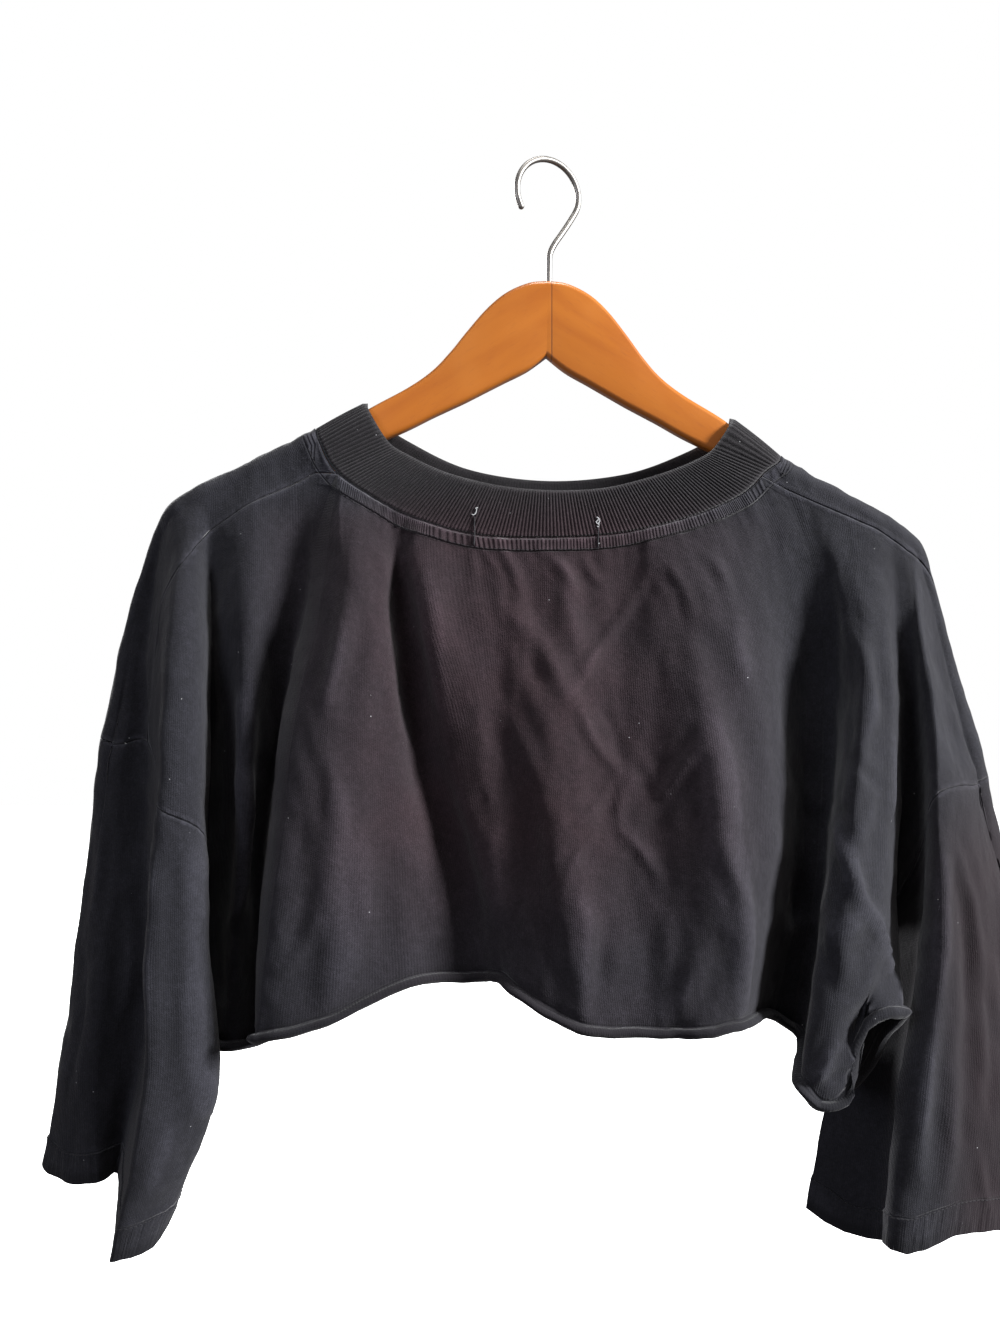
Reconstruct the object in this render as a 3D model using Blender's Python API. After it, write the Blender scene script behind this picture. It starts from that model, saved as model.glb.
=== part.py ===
"""An oversized jersey crop top that hangs on a flat wooden hanger.

The garment is a drop-shoulder top with a wide ribbed collar, wide short sleeves with turned
hems and a raw body hem that rolls up.  It hangs in soft vertical folds, pulled together in
width, and is shown from its back.  Metres, +Z up, +X to the viewer's right, -Y towards the
viewer.  The origin is the underside of the hook's crown, where a rail carries the hook.

Every cloth piece is one wall.  Its outer face follows the fold tables below, in centimetres,
and its inner face lies one wall thickness inside.
"""
import bpy
import math
import numpy as np
from mathutils.kdtree import KDTree

CM = 0.01
WALL = 0.12               # jersey
SEAM_GAP = 0.03           # left between two sewn pieces
CREASE_ROOM = 5.0         # a seam opens a little more where it crosses a crease
CORNER_ROOM = 5.0         # and where three pieces meet
HEM_TURN = 2.0            # height of the turned sleeve hem
HEM_TURN_WALL = 0.22      # two layers of jersey
ROLL_HEIGHT = 0.55        # raw body hem, rolled outwards
ROLL_RISE = 0.24

# The fold that runs over the hanger's arm and on down the outside of the sleeve.
# "out" is the distance from the neck, "y" and "radius" give the round of the fold.
RIDGE_COLUMNS = ("out", "x", "z", "y", "radius")
LEFT_RIDGE = (
    (0.0, -14.5, -16.8, 0.0, 0.97),
    (6.7, -20.6, -19.6, 0.0, 0.97),
    (9.6, -23.1, -21.0, 0.1, 0.95),
    (11.1, -24.2, -22.1, 0.4, 0.80),
    (13.1, -25.1, -23.9, 0.8, 0.62),
    (16.1, -26.2, -26.7, 1.1, 0.62),
    (19.6, -27.2, -30.0, 1.6, 0.80),
    (23.3, -28.1, -33.6, 2.0, 1.00),
    (25.9, -28.7, -36.1, 2.3, 1.10),
)
RIGHT_RIDGE = (
    (0.0, 14.5, -18.5, 0.0, 0.97),
    (5.2, 19.1, -20.9, 0.0, 0.97),
    (7.7, 21.3, -22.1, 0.0, 0.97),
    (10.2, 23.3, -23.6, 0.3, 0.82),
    (12.7, 24.3, -25.9, 0.8, 0.68),
    (16.3, 25.4, -29.3, 1.3, 0.70),
    (20.8, 26.8, -33.6, 1.9, 0.95),
    (26.0, 28.4, -38.6, 2.3, 1.10),
)
NECK_HALF_WIDTH = 14.5
NECK_DEPTH = 2.0          # half the opening's depth at the centre, along Y

# Folds of the two body panels, from left to right.  "across" is where a fold starts: its
# distance from the centre along the shoulder fold, or across the neck.  Each fold then runs
# down through four heights: yoke, chest, armhole seam (or armpit height) and hem.
FOLD_COLUMNS = ("across", "yoke_x", "yoke_y", "chest_x", "chest_y",
                "arm_x", "arm_y", "arm_z", "hem_x", "hem_y", "hem_z")
YOKE_SHARE = 0.32
CHEST_SHARE = 0.62
BACK_FOLDS = (
    # left sleeve cap: its folds run on into the sleeve
    (-40.4, -27.65, 1.2, -27.65, 1.2, -27.67, 1.2, -36.45, -29.5, 1.9, -49.6),
    (-33.0, -26.4, 0.9, -26.7, 1.0, -26.90, 1.0, -36.40, -28.2, 1.4, -49.4),
    (-26.9, -24.9, 0.5, -25.3, 0.7, -25.50, 0.7, -36.30, -26.5, 0.8, -49.0),
    (-25.6, -23.8, -1.5, -24.0, -2.0, -24.20, -2.2, -39.10, -25.3, -2.4, -48.3),
    (-24.2, -22.4, -2.9, -22.3, -4.0, -22.20, -4.7, -39.90, -22.5, -5.0, -47.7),
    (-22.9, -21.3, -2.7, -20.9, -3.7, -20.70, -4.1, -41.50, -20.3, -4.4, -47.9),
    # body, from the left side seam to the right one
    (-21.9, -20.8, -0.9, -21.0, 0.2, -21.30, 0.9, -45.60, -21.2, 0.9, -54.8),
    (-20.6, -19.7, -1.8, -19.7, -1.3, -19.80, -0.9, -44.90, -20.1, -0.8, -55.1),
    (-18.8, -18.1, -2.5, -18.2, -2.2, -18.90, -1.9, -43.90, -19.3, -1.6, -55.0),
    (-15.9, -15.4, -1.2, -16.5, -0.3, -17.90, 0.1, -44.10, -17.6, 0.2, -55.0),
    (-13.3, -14.0, -2.3, -15.4, -3.4, -16.50, -4.4, -43.40, -17.8, -4.2, -53.7),
    (-11.4, -11.8, -3.4, -12.1, -4.8, -12.50, -5.6, -43.20, -13.3, -5.6, -52.5),
    (-10.0, -10.2, -2.9, -9.5, -3.9, -8.60, -4.5, -43.40, -8.3, -4.6, -50.5),
    (-8.9, -9.2, -1.6, -8.5, -1.9, -6.00, -2.4, -43.80, -4.8, -2.6, -50.6),
    (-7.3, -7.1, -2.8, -5.1, -3.7, -3.70, -3.6, -43.60, -3.0, -3.4, -50.4),
    (-4.2, -3.6, -2.5, -3.0, -3.4, -2.10, -4.2, -43.50, -1.8, -4.8, -51.0),
    (-0.1, -0.1, -2.6, 0.1, -4.2, 0.80, -5.6, -43.40, 1.6, -6.2, -52.6),
    (3.7, 4.0, -2.2, 4.2, -3.2, 5.00, -4.3, -43.60, 6.0, -5.0, -53.0),
    (7.2, 7.8, -2.9, 8.8, -4.4, 9.40, -5.6, -43.50, 8.7, -6.4, -52.8),
    (10.1, 11.8, -2.4, 12.5, -3.4, 12.50, -4.8, -43.60, 10.9, -5.6, -52.5),
    (12.3, 15.2, -1.0, 15.6, -0.6, 15.30, -0.6, -43.80, 13.6, -0.8, -53.3),
    (15.9, 17.3, -1.2, 17.7, -0.6, 17.20, -0.6, -43.80, 15.8, -0.4, -55.0),
    (17.8, 18.0, -2.1, 18.0, -2.7, 16.40, -3.6, -44.20, 14.5, -5.0, -56.1),
    (20.0, 19.2, -2.7, 19.2, -3.7, 18.00, -4.9, -44.00, 15.6, -5.6, -57.3),
    (21.1, 20.1, -2.8, 20.0, -3.8, 19.20, -4.8, -44.50, 17.4, -5.3, -56.6),
    (21.9, 20.8, -2.5, 20.7, -3.3, 20.30, -3.8, -45.00, 18.5, -5.1, -52.7),
    (22.7, 21.7, -0.9, 22.2, 0.2, 22.10, 1.0, -46.20, 20.8, -4.5, -52.2),
    # right sleeve cap
    (23.3, 22.2, -1.0, 22.75, 0.1, 22.80, 0.4, -44.60, 21.9, 1.2, -50.0),
    (23.9, 22.45, -1.2, 23.0, -0.5, 23.30, -0.5, -42.40, 22.4, -0.6, -50.0),
    (24.4, 22.6, -1.3, 23.0, -1.3, 23.10, -1.8, -40.40, 20.9, -3.0, -50.0),
    (25.0, 22.9, -1.3, 23.4, -1.8, 23.50, -2.4, -39.20, 22.4, -4.0, -50.0),
    (29.0, 24.4, 0.0, 24.8, -0.4, 25.10, -1.4, -38.80, 25.6, -2.8, -51.0),
    (34.0, 25.8, 0.6, 26.3, 0.5, 26.50, 0.2, -38.90, 28.2, -0.3, -51.5),
    (40.4, 27.35, 1.2, 27.37, 1.2, 27.38, 1.2, -38.95, 30.0, 1.8, -52.0),
)
FRONT_FOLDS = (
    (-40.4, -27.65, 3.4, -27.65, 3.4, -27.67, 3.4, -36.45, -29.6, 4.2, -49.7),
    (-33.0, -26.3, 2.9, -26.4, 3.6, -26.30, 4.3, -37.00, -28.3, 5.0, -50.0),
    (-26.9, -24.4, 2.4, -24.4, 2.9, -24.30, 3.2, -39.40, -25.4, 3.4, -50.0),
    (-24.2, -22.6, 3.0, -22.5, 4.3, -22.60, 4.9, -42.00, -23.2, 5.2, -50.0),
    (-21.9, -20.9, 1.9, -21.1, 2.2, -21.30, 0.9, -45.60, -21.2, 0.9, -54.8),
    (-18.2, -18.6, 2.6, -18.6, 3.8, -18.80, 4.4, -44.50, -18.9, 4.8, -54.0),
    (-14.6, -15.0, 1.5, -15.2, 1.7, -15.60, 1.9, -44.20, -16.0, 2.1, -53.2),
    (-10.0, -10.8, 2.8, -11.2, 4.6, -11.50, 5.6, -44.00, -11.8, 6.0, -52.0),
    (-5.2, -5.6, 1.9, -6.0, 2.4, -6.20, 2.6, -44.00, -6.4, 2.8, -51.2),
    (0.0, 0.0, 2.8, -0.2, 4.4, -0.40, 5.4, -44.00, -0.6, 6.0, -52.0),
    (5.2, 5.4, 1.9, 5.6, 2.4, 5.80, 2.6, -44.00, 5.6, 2.8, -52.2),
    (10.0, 10.6, 2.8, 11.2, 4.6, 11.40, 5.4, -44.20, 11.0, 5.8, -52.4),
    (14.6, 15.2, 1.5, 15.8, 1.8, 15.80, 2.0, -44.40, 15.4, 1.4, -53.6),
    (17.0, 17.4, 2.1, 17.8, 2.9, 17.60, 3.4, -44.80, 17.7, -1.0, -57.6),
    (19.6, 19.4, 2.4, 19.8, 3.4, 19.60, 3.8, -45.20, 19.2, -2.5, -56.2),
    (21.6, 20.9, 2.1, 21.2, 2.9, 20.90, 2.5, -45.80, 19.9, -3.5, -53.8),
    (22.7, 21.8, 1.9, 22.1, 2.2, 22.10, 1.0, -46.20, 20.8, -4.5, -52.2),
    (25.0, 22.9, 2.6, 23.2, 3.6, 23.60, 4.2, -43.00, 23.4, 5.0, -50.5),
    (29.0, 24.4, 2.2, 24.9, 2.8, 25.20, 3.2, -40.50, 26.4, 3.6, -51.0),
    (34.0, 25.9, 2.6, 26.4, 3.4, 26.60, 4.2, -39.60, 29.0, 5.2, -51.5),
    (40.4, 27.35, 3.4, 27.37, 3.4, 27.38, 3.4, -38.95, 30.1, 4.2, -52.1),
)
LEFT_ARMPIT = -21.9
RIGHT_ARMPIT = 22.7
LEFT_SEAM_END = -26.9     # the shoulder seam meets the left armhole seam in this valley

# Where the shoulder seam lies: it has slipped back over the arm of the hanger.  "fall" is
# its distance below the fold, along the cloth; past the right shoulder it crosses the fold.
SEAM_COLUMNS = ("across", "fall")
SHOULDER_SEAM = (
    (-40.4, 99.0), (-26.9, 12.6), (-25.6, 6.4), (-24.2, 5.4), (-22.9, 4.4), (-21.9, 3.8),
    (-18.8, 3.4), (-14.5, 3.3), (14.5, 2.7), (17.8, 2.3), (21.1, 2.0), (23.9, 2.0),
    (25.0, 1.7), (27.0, 0.6), (30.0, -0.2), (34.0, -0.6), (40.4, -0.8),
)

# Folds of the sleeves below the armhole seam, round from the armpit over the back side,
# the outer fold and the front side: at the elbow, below it, and at the hem.
SLEEVE_COLUMNS = ("elbow_x", "elbow_y", "elbow_z", "low_x", "low_y", "low_z",
                  "cuff_x", "cuff_y", "cuff_z")
LEFT_SLEEVE = (
    (-23.0, 0.4, -49.6, -22.2, 0.6, -57.0, -23.2, 1.4, -63.6),     # underarm
    (-20.3, -4.4, -47.9, -19.8, -4.0, -56.8, -23.1, -4.0, -65.4),  # edge
    (-22.5, -5.0, -47.7, -22.7, -5.4, -56.0, -24.6, -5.2, -66.2),  # crest
    (-25.3, -2.4, -48.3, -25.7, -3.2, -56.2, -26.0, -3.8, -65.8),  # flank
    (-26.5, 0.8, -49.0, -27.2, 1.4, -57.0, -27.9, 2.2, -64.2),     # valley
    (-28.2, 1.4, -49.4, -28.9, 1.3, -57.0, -28.6, 1.2, -64.3),     # outer band
    (-29.5, 1.9, -49.6, -30.4, 1.8, -57.5, -30.8, 1.7, -64.5),     # outer, back
    (-30.6, 3.0, -49.8, -31.6, 3.0, -57.6, -32.6, 3.0, -63.9),     # outer fold
    (-29.6, 4.2, -49.7, -30.4, 4.3, -57.6, -31.2, 4.3, -64.1),     # outer, front
    (-28.3, 5.0, -50.0, -28.9, 5.0, -57.5, -29.3, 4.8, -64.2),     # front band
    (-25.4, 3.4, -50.0, -25.9, 3.6, -57.3, -26.6, 3.9, -63.9),     # front trough
    (-23.2, 5.2, -50.0, -23.4, 4.9, -57.0, -24.4, 4.6, -63.6),     # front crest
)
RIGHT_SLEEVE = (
    (21.9, 3.0, -50.0, 18.6, 2.6, -57.8, 16.6, 2.6, -65.8),        # underarm
    (22.6, 1.4, -50.0, 20.3, 1.0, -58.0, 18.9, 1.4, -66.8),        # under layer
    (23.3, -0.3, -50.0, 21.7, -0.4, -58.0, 21.2, 0.2, -66.8),      # valley
    (22.3, -2.3, -50.0, 20.3, -4.0, -58.0, 19.6, -4.4, -65.4),     # edge
    (23.0, -3.8, -50.0, 21.6, -4.9, -58.0, 20.6, -5.3, -65.6),     # crest
    (25.6, -2.8, -51.0, 25.4, -3.9, -58.5, 24.4, -4.5, -64.8),     # back band
    (28.2, -0.3, -51.5, 28.9, -1.2, -59.0, 28.6, -2.0, -65.3),     # side
    (30.0, 1.8, -52.0, 31.2, 1.8, -59.5, 31.9, 1.6, -66.0),        # outer, back
    (31.2, 3.0, -52.2, 32.3, 3.1, -59.6, 33.2, 3.1, -66.2),        # outer fold
    (30.1, 4.2, -52.1, 31.2, 4.4, -59.5, 31.9, 4.4, -66.1),        # outer, front
    (29.0, 5.2, -51.5, 29.8, 5.2, -59.0, 30.2, 5.0, -65.8),        # front band
    (26.4, 3.6, -51.0, 26.0, 3.8, -58.5, 25.4, 4.0, -65.4),        # front trough
    (23.4, 5.0, -50.5, 21.8, 5.0, -58.0, 20.6, 4.8, -65.6),        # front crest
)

# The collar's two edges, round from the left end of the neck over the back.
COLLAR_COLUMNS = ("seam_x", "seam_y", "seam_z", "rim_x", "rim_y", "rim_z")
COLLAR = (
    (-14.5, 0.0, -16.7, -11.3, 0.0, -15.0),       # over the left arm of the hanger
    (-14.25, -0.95, -17.5, -11.05, -1.0, -15.75),
    (-13.4, -1.2, -19.2, -9.9, -1.15, -17.6),
    (-11.9, -1.5, -20.5, -8.6, -1.4, -18.5),
    (-8.7, -1.8, -22.3, -6.3, -1.7, -19.6),
    (-4.6, -2.0, -23.5, -3.3, -1.9, -20.4),
    (-0.1, -2.05, -23.7, -0.1, -2.0, -20.75),
    (4.4, -2.0, -23.4, 3.3, -1.9, -20.6),
    (8.6, -1.8, -22.4, 6.5, -1.7, -19.8),
    (11.8, -1.5, -21.0, 8.8, -1.4, -18.9),
    (13.4, -1.2, -19.5, 10.1, -1.15, -18.1),
    (14.25, -0.95, -18.9, 11.15, -1.0, -16.6),
    (14.5, 0.0, -18.4, 11.4, 0.0, -15.95),          # over the right arm
    (14.25, 0.95, -18.9, 11.15, 1.0, -16.55),
    (12.0, 1.4, -20.6, 8.8, 1.35, -17.9),
    (6.5, 1.9, -22.4, 5.0, 1.8, -19.2),
    (0.0, 2.1, -22.9, 0.0, 2.0, -19.6),
    (-6.5, 1.9, -22.2, -5.0, 1.8, -18.9),
    (-12.0, 1.4, -19.8, -8.8, 1.35, -17.2),
    (-14.25, 0.95, -17.5, -11.05, 1.0, -15.7),
)
RIB_COUNT = 296
RIB_RISE = 0.045
COLLAR_WALL = 0.14
COLLAR_GAP = 0.05

# Flat hanger, before it is rolled: heights of the upper and lower edge of one half.
HANGER_COLUMNS = ("out", "top", "bottom")
HANGER_HALF = (
    (0.0, -7.5, -12.2),
    (1.2, -7.65, -13.1),
    (2.6, -8.3, -13.85),
    (3.8, -9.35, -14.5),
    (5.0, -10.8, -15.15),
    (6.0, -12.1, -15.65),
    (7.1, -13.3, -16.2),
    (8.6, -14.4, -17.0),
    (11.1, -15.85, -18.2),
    (12.8, -17.2, -19.4),
    (14.6, -18.5, -20.5),
    (18.6, -20.4, -22.1),
    (20.8, -21.45, -22.9),
    (22.0, -22.2, -23.3),
)
HANGER_THICK = 1.2
HANGER_EDGE_ROUND = 0.34
HANGER_ROLL = math.radians(1.5)
HANGER_SHIFT = -0.20       # the arms' centre line, from below the hook's crown

WIRE = 0.38
HOOK_RADIUS = 2.15
HOOK_TURN = math.radians(25.0)
HOOK_FOOT = -7.46          # just above the wood

CLOTH_COLOUR = (0.030, 0.028, 0.033, 1.0)
COLLAR_COLOUR = (0.026, 0.024, 0.028, 1.0)
WOOD_COLOUR = (0.60, 0.27, 0.09, 1.0)
STEEL_COLOUR = (0.62, 0.60, 0.57, 1.0)


def table(rows, columns):
    """The rows as a dictionary of arrays, one for each named column."""
    values = np.array(rows, dtype=float)
    return {name: values[:, place] for place, name in enumerate(columns)}


def hermite(share, start, end, leave, reach):
    return ((2 * share**3 - 3 * share**2 + 1) * start + (share**3 - 2 * share**2 + share) * leave
            + (3 * share**2 - 2 * share**3) * end + (share**3 - share**2) * reach)


def through(values, place, closed=False):
    """Smooth curve through evenly spaced values (n, ...) read at fractional places."""
    values = np.asarray(values, dtype=float)
    place = np.asarray(place, dtype=float)
    count = len(values)
    low = np.floor(place).astype(int)
    if not closed:
        low = np.clip(low, 0, count - 2)
        ends = (2 * values[:1] - values[1:2], 2 * values[-1:] - values[-2:-1])
        values = np.concatenate([ends[0], values, ends[1]])
        low = low + 1
        count = count + 2
        place = place + 1
    share = place - low
    share = share.reshape(share.shape + (1,) * (values.ndim - 1))
    before, start, end, after = (values[(low + step) % count] for step in (-1, 0, 1, 2))
    return hermite(share, start, end, (end - before) / 2, (after - start) / 2)


def falling(depths, values, at):
    """Smooth curves through values (column, knot, 3) at growing depths, read at (column, row)."""
    step = np.diff(depths, axis=1)
    slope = np.diff(values, axis=1) / step[..., None]
    inner = slope[:, :-1] * step[:, 1:, None] + slope[:, 1:] * step[:, :-1, None]
    inner = inner / (step[:, 1:] + step[:, :-1])[..., None]
    tangent = np.concatenate([slope[:, :1], inner, slope[:, -1:]], axis=1)
    knot = (at[:, :, None] >= depths[:, None, 1:-1]).sum(axis=2)
    column = np.arange(len(depths))[:, None]
    span = step[column, knot][..., None]
    share = (at - depths[column, knot])[..., None] / span
    return hermite(share, values[column, knot], values[column, knot + 1],
                   tangent[column, knot] * span, tangent[column, knot + 1] * span)


def unit(vectors):
    return vectors / np.maximum(np.linalg.norm(vectors, axis=-1, keepdims=True), 1e-12)


def lengths(path):
    """Distance along a path at each of its points."""
    return np.concatenate([[0], np.cumsum(np.linalg.norm(np.diff(path, axis=0), axis=1))])


def along(path, distance):
    """Points of a path at the given distances along it."""
    at = lengths(path)
    return np.stack([np.interp(distance, at, path[:, axis]) for axis in range(3)], axis=-1)


def ridge(across):
    """Centre and radius of the shoulder fold, and its outward direction, at each column."""
    across = np.asarray(across, dtype=float)
    centre = np.zeros(across.shape + (3,))
    radius = np.zeros(across.shape)
    outward = np.zeros(across.shape + (3,))
    outward[..., 2] = 1.0
    for rows, side in ((LEFT_RIDGE, -1), (RIGHT_RIDGE, 1)):
        here = side * across >= NECK_HALF_WIDTH
        line = table(rows, RIDGE_COLUMNS)
        out = np.clip(side * across[here] - NECK_HALF_WIDTH, 0, line["out"][-1])
        place = np.interp(out, line["out"], np.arange(len(rows)))
        values = through(rows, place)
        ahead = through(rows, np.minimum(place + 0.05, len(rows) - 1))
        behind = through(rows, np.maximum(place - 0.05, 0))
        run = unit((ahead - behind)[..., 1:3])
        normal = np.stack([-side * run[..., 1], 0 * out, side * run[..., 0]], axis=-1)
        radius[here] = values[..., 4]
        outward[here] = normal
        top = np.stack([values[..., 1], values[..., 3], values[..., 2]], axis=-1)
        centre[here] = top - normal * values[..., 4:5]
    neck = np.abs(across) < NECK_HALF_WIDTH
    if neck.any():
        ends, end_radius, _ = ridge(np.array([-NECK_HALF_WIDTH, NECK_HALF_WIDTH]))
        share = (across[neck] / NECK_HALF_WIDTH + 1) / 2
        level = ends[0, 2] * (1 - share) + ends[1, 2] * share
        centre[neck] = np.stack([across[neck], 0 * share, level], axis=-1)
        opening = np.sqrt(np.clip(1 - (across[neck] / NECK_HALF_WIDTH) ** 2, 0, 1))
        radius[neck] = end_radius[0] + (NECK_DEPTH - end_radius[0]) * opening
    return centre, radius, outward


class Side:
    """One side of the body, back (-1) or front (+1), as folds that hang from the ridge."""

    def __init__(self, folds, sign):
        self.rows = np.array(folds, dtype=float)
        self.across = table(folds, FOLD_COLUMNS)["across"]
        self.sign = sign
        left, right = (int(np.argmin(np.abs(self.across - pit))) for pit in (LEFT_ARMPIT, RIGHT_ARMPIT))
        self.parts = ((0, left), (left, right), (right, len(folds) - 1))

    def knots(self, across):
        """Depths below the origin and places of the five knots of each column."""
        place = np.interp(across, self.across, np.arange(len(self.rows)))
        row = np.zeros(place.shape + (len(FOLD_COLUMNS),))
        for first, last in self.parts:
            here = (place >= first) & (place <= last)
            row[here] = through(self.rows[first:last + 1], place[here] - first)
        top, radius, _ = ridge(across)
        top[:, 1] += self.sign * radius
        arm, hem = row[:, 5:8], row[:, 8:11]
        yoke_z, chest_z = (top[:, 2] + share * (arm[:, 2] - top[:, 2])
                           for share in (YOKE_SHARE, CHEST_SHARE))
        yoke = np.stack([row[:, 1], row[:, 2], yoke_z], axis=-1)
        chest = np.stack([row[:, 3], row[:, 4], chest_z], axis=-1)
        values = np.stack([top, yoke, chest, arm, hem], axis=1)
        return -values[:, :, 2], values

    def at(self, across, depth):
        """Outer face at the depths (column, row) below the origin."""
        depths, values = self.knots(across)
        return falling(depths, values, depth)


BACK = Side(BACK_FOLDS, -1)
FRONT = Side(FRONT_FOLDS, 1)


def down_path(side, across):
    """Dense path of one column from the ridge to the armhole seam or armpit height."""
    column = np.array([across])
    depths, _ = side.knots(column)
    return side.at(column, np.linspace(depths[0, 0], depths[0, 3], 60)[None])[0]


def over_ridge(across):
    """Points over the fold, from the back side's top to the front side's top."""
    centre, radius, outward = ridge(np.array([across]))
    turn = np.linspace(-math.pi / 2, math.pi / 2, 9)[:, None]
    ahead = np.array([0.0, 1.0, 0.0])
    return centre + radius * (np.sin(turn) * ahead + np.cos(turn) * outward)


def shoulder_path(across):
    """Back armhole seam, over the ridge, front armhole seam; and the ridge's distance."""
    back = down_path(BACK, across)[::-1]
    over = over_ridge(across)
    path = np.concatenate([back[:-1], over, down_path(FRONT, across)[1:]])
    return path, lengths(back)[-1] + lengths(over)[4]


def shoulder_seam(across):
    """Distance of the shoulder seam along the shoulder path, from its back end."""
    seam = table(SHOULDER_SEAM, SEAM_COLUMNS)
    _, crest = shoulder_path(across)
    return max(crest - float(np.interp(across, seam["across"], seam["fall"])), 0.0)


def neck_points(places):
    """Neck seam points at fractional rows of the collar table."""
    return through(COLLAR, places, closed=True)[:, :3]


# Column positions that both panels and the sleeves share.
def spread(knots, per_fold):
    parts = [np.linspace(a, b, per_fold, endpoint=False) for a, b in zip(knots[:-1], knots[1:])]
    return np.concatenate(parts + [knots[-1:]])


SHOULDER_L = spread(np.array([-40.4, -33.0, -26.9, -25.6, -24.2, -22.9, -22.4, -21.9,
                              -21.25, -20.6, -18.8, -15.9, -14.5]), 2)
SHOULDER_R = spread(np.array([14.5, 15.9, 17.8, 20.0, 21.1, 21.9, 22.3, 22.7,
                              23.3, 23.9, 24.4, 25.0, 29.0, 34.0, 40.4]), 2)
BACK_NECK = np.linspace(2.35, 9.75, 23)        # rows of the collar table
FRONT_NECK = np.linspace(19.0, 13.0, 21)
UPPER_ROWS = 8
STRIP_ROWS = 10           # the front's rows that wrap over the arm, past the neck's ends
FRONT_ROWS = 8
ARC_ROW = 6               # the row on the fold's crest
ARC = 1.5                 # from the crest to the front of the fold, along the cloth
LEFT_NECK_END = np.append(np.linspace(2.35, 0.0, 7), np.linspace(0.0, -1.0, 5)[1:])
RIGHT_NECK_END = np.append(np.linspace(9.75, 12.0, 7), np.linspace(12.0, 13.0, 5)[1:])
NEAR_END = 21.5           # past here the rows turn even, apart from those over the fold
FAR_START = 25.0
FRONT_POWER = 1.3
CREST_CLOSE = 3.0         # rows lie this much closer over the fold
CREST_REACH = 1.3
SEAM_END_ROOM = 0.25      # the back's left end is not quite a point
LOWER_ROWS = 4
SLEEVE_ROWS = 7
SLEEVE_POWER = 1.25


class Cloth:
    """Grid of outer points; kept marks the cells that are cloth, lift raises the outer face."""

    def __init__(self, name, points, kept=None, closed=False, wall=WALL, lift=0.0):
        self.name, self.points, self.closed = name, points, closed
        rows, columns = points.shape[:2]
        cells = columns if closed else columns - 1
        self.kept = np.ones((rows - 1, cells), dtype=bool) if kept is None else kept
        self.wall = np.broadcast_to(np.asarray(wall, dtype=float), (rows, columns)).copy()
        self.lift = np.broadcast_to(np.asarray(lift, dtype=float), (rows, columns)).copy()
        right = np.roll(points, -1, axis=1)[:, :cells]
        left = points[:, :cells]
        cell = np.cross(right[:-1] - left[1:], left[:-1] - right[1:]) * self.kept[..., None]
        self.normal = np.zeros_like(points)
        self.used = np.zeros((rows, columns), dtype=bool)
        self.edge = np.zeros((rows, columns), dtype=bool)
        share = np.zeros((rows, columns), dtype=int)
        for down in (0, 1):
            for step in (0, 1):
                place = (np.arange(cells) + step) % columns
                self.normal[down:rows - 1 + down, place] += cell
                share[down:rows - 1 + down, place] += self.kept
        self.used = share > 0
        self.edge = self.used & (share < 4)

    def solid(self, paint):
        """Closed wall: outer face, inner face and the strips along every free edge."""
        rows, columns = self.points.shape[:2]
        normal = unit(self.normal)
        outer = self.points + normal * self.lift[..., None]
        inner = self.points - normal * self.wall[..., None]
        number = np.full((rows, columns), -1)
        number[self.used] = np.arange(self.used.sum())
        count = int(self.used.sum())
        padded = np.pad(self.kept, 1)
        if self.closed:
            padded[:, 0], padded[:, -1] = padded[:, -2], padded[:, 1]
        faces = []
        for r, c in zip(*np.nonzero(self.kept)):
            e = (c + 1) % columns
            corner = (number[r, c], number[r + 1, c], number[r + 1, e], number[r, e])
            faces.append(corner)
            faces.append(tuple(n + count for n in reversed(corner)))
            beside = (padded[r + 1, c], padded[r + 2, c + 1], padded[r + 1, c + 2], padded[r, c + 1])
            for place, neighbour in enumerate(beside):
                if not neighbour:
                    start, end = corner[place], corner[(place + 1) % 4]
                    faces.append((end, start, start + count, end + count))
        return solid(self.name, np.concatenate([outer[self.used], inner[self.used]]), faces, paint)


def sew(pieces):
    """Gives meeting edges one normal, and draws each back by half the seam gap."""
    spots = [(piece, r, c) for piece in pieces for r, c in zip(*np.nonzero(piece.edge))]
    tree = KDTree(len(spots))
    for number, (piece, r, c) in enumerate(spots):
        tree.insert(piece.points[r, c], number)
    tree.balance()
    mends = []
    for piece, r, c in spots:
        met = [spots[found[1]] for found in tree.find_range(piece.points[r, c], 0.002)]
        count = len({other[0].name for other in met})
        if count > 1:
            total = unit(sum(unit(other[0].normal[other[1], other[2]]) for other in met))
            mends.append((piece, r, c, total, inward(piece, r, c, total), count))
    for piece, r, c, total, move, count in mends:
        piece.normal[r, c] = total
    for piece, r, c, total, move, count in mends:
        near = [unit(piece.normal[r, k % piece.points.shape[1]]).dot(total) for k in (c - 1, c + 1)]
        room = 1 + CREASE_ROOM * (1 - min(near)) + CORNER_ROOM * (count - 2)
        piece.points[r, c] += move * SEAM_GAP / 2 * room


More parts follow.
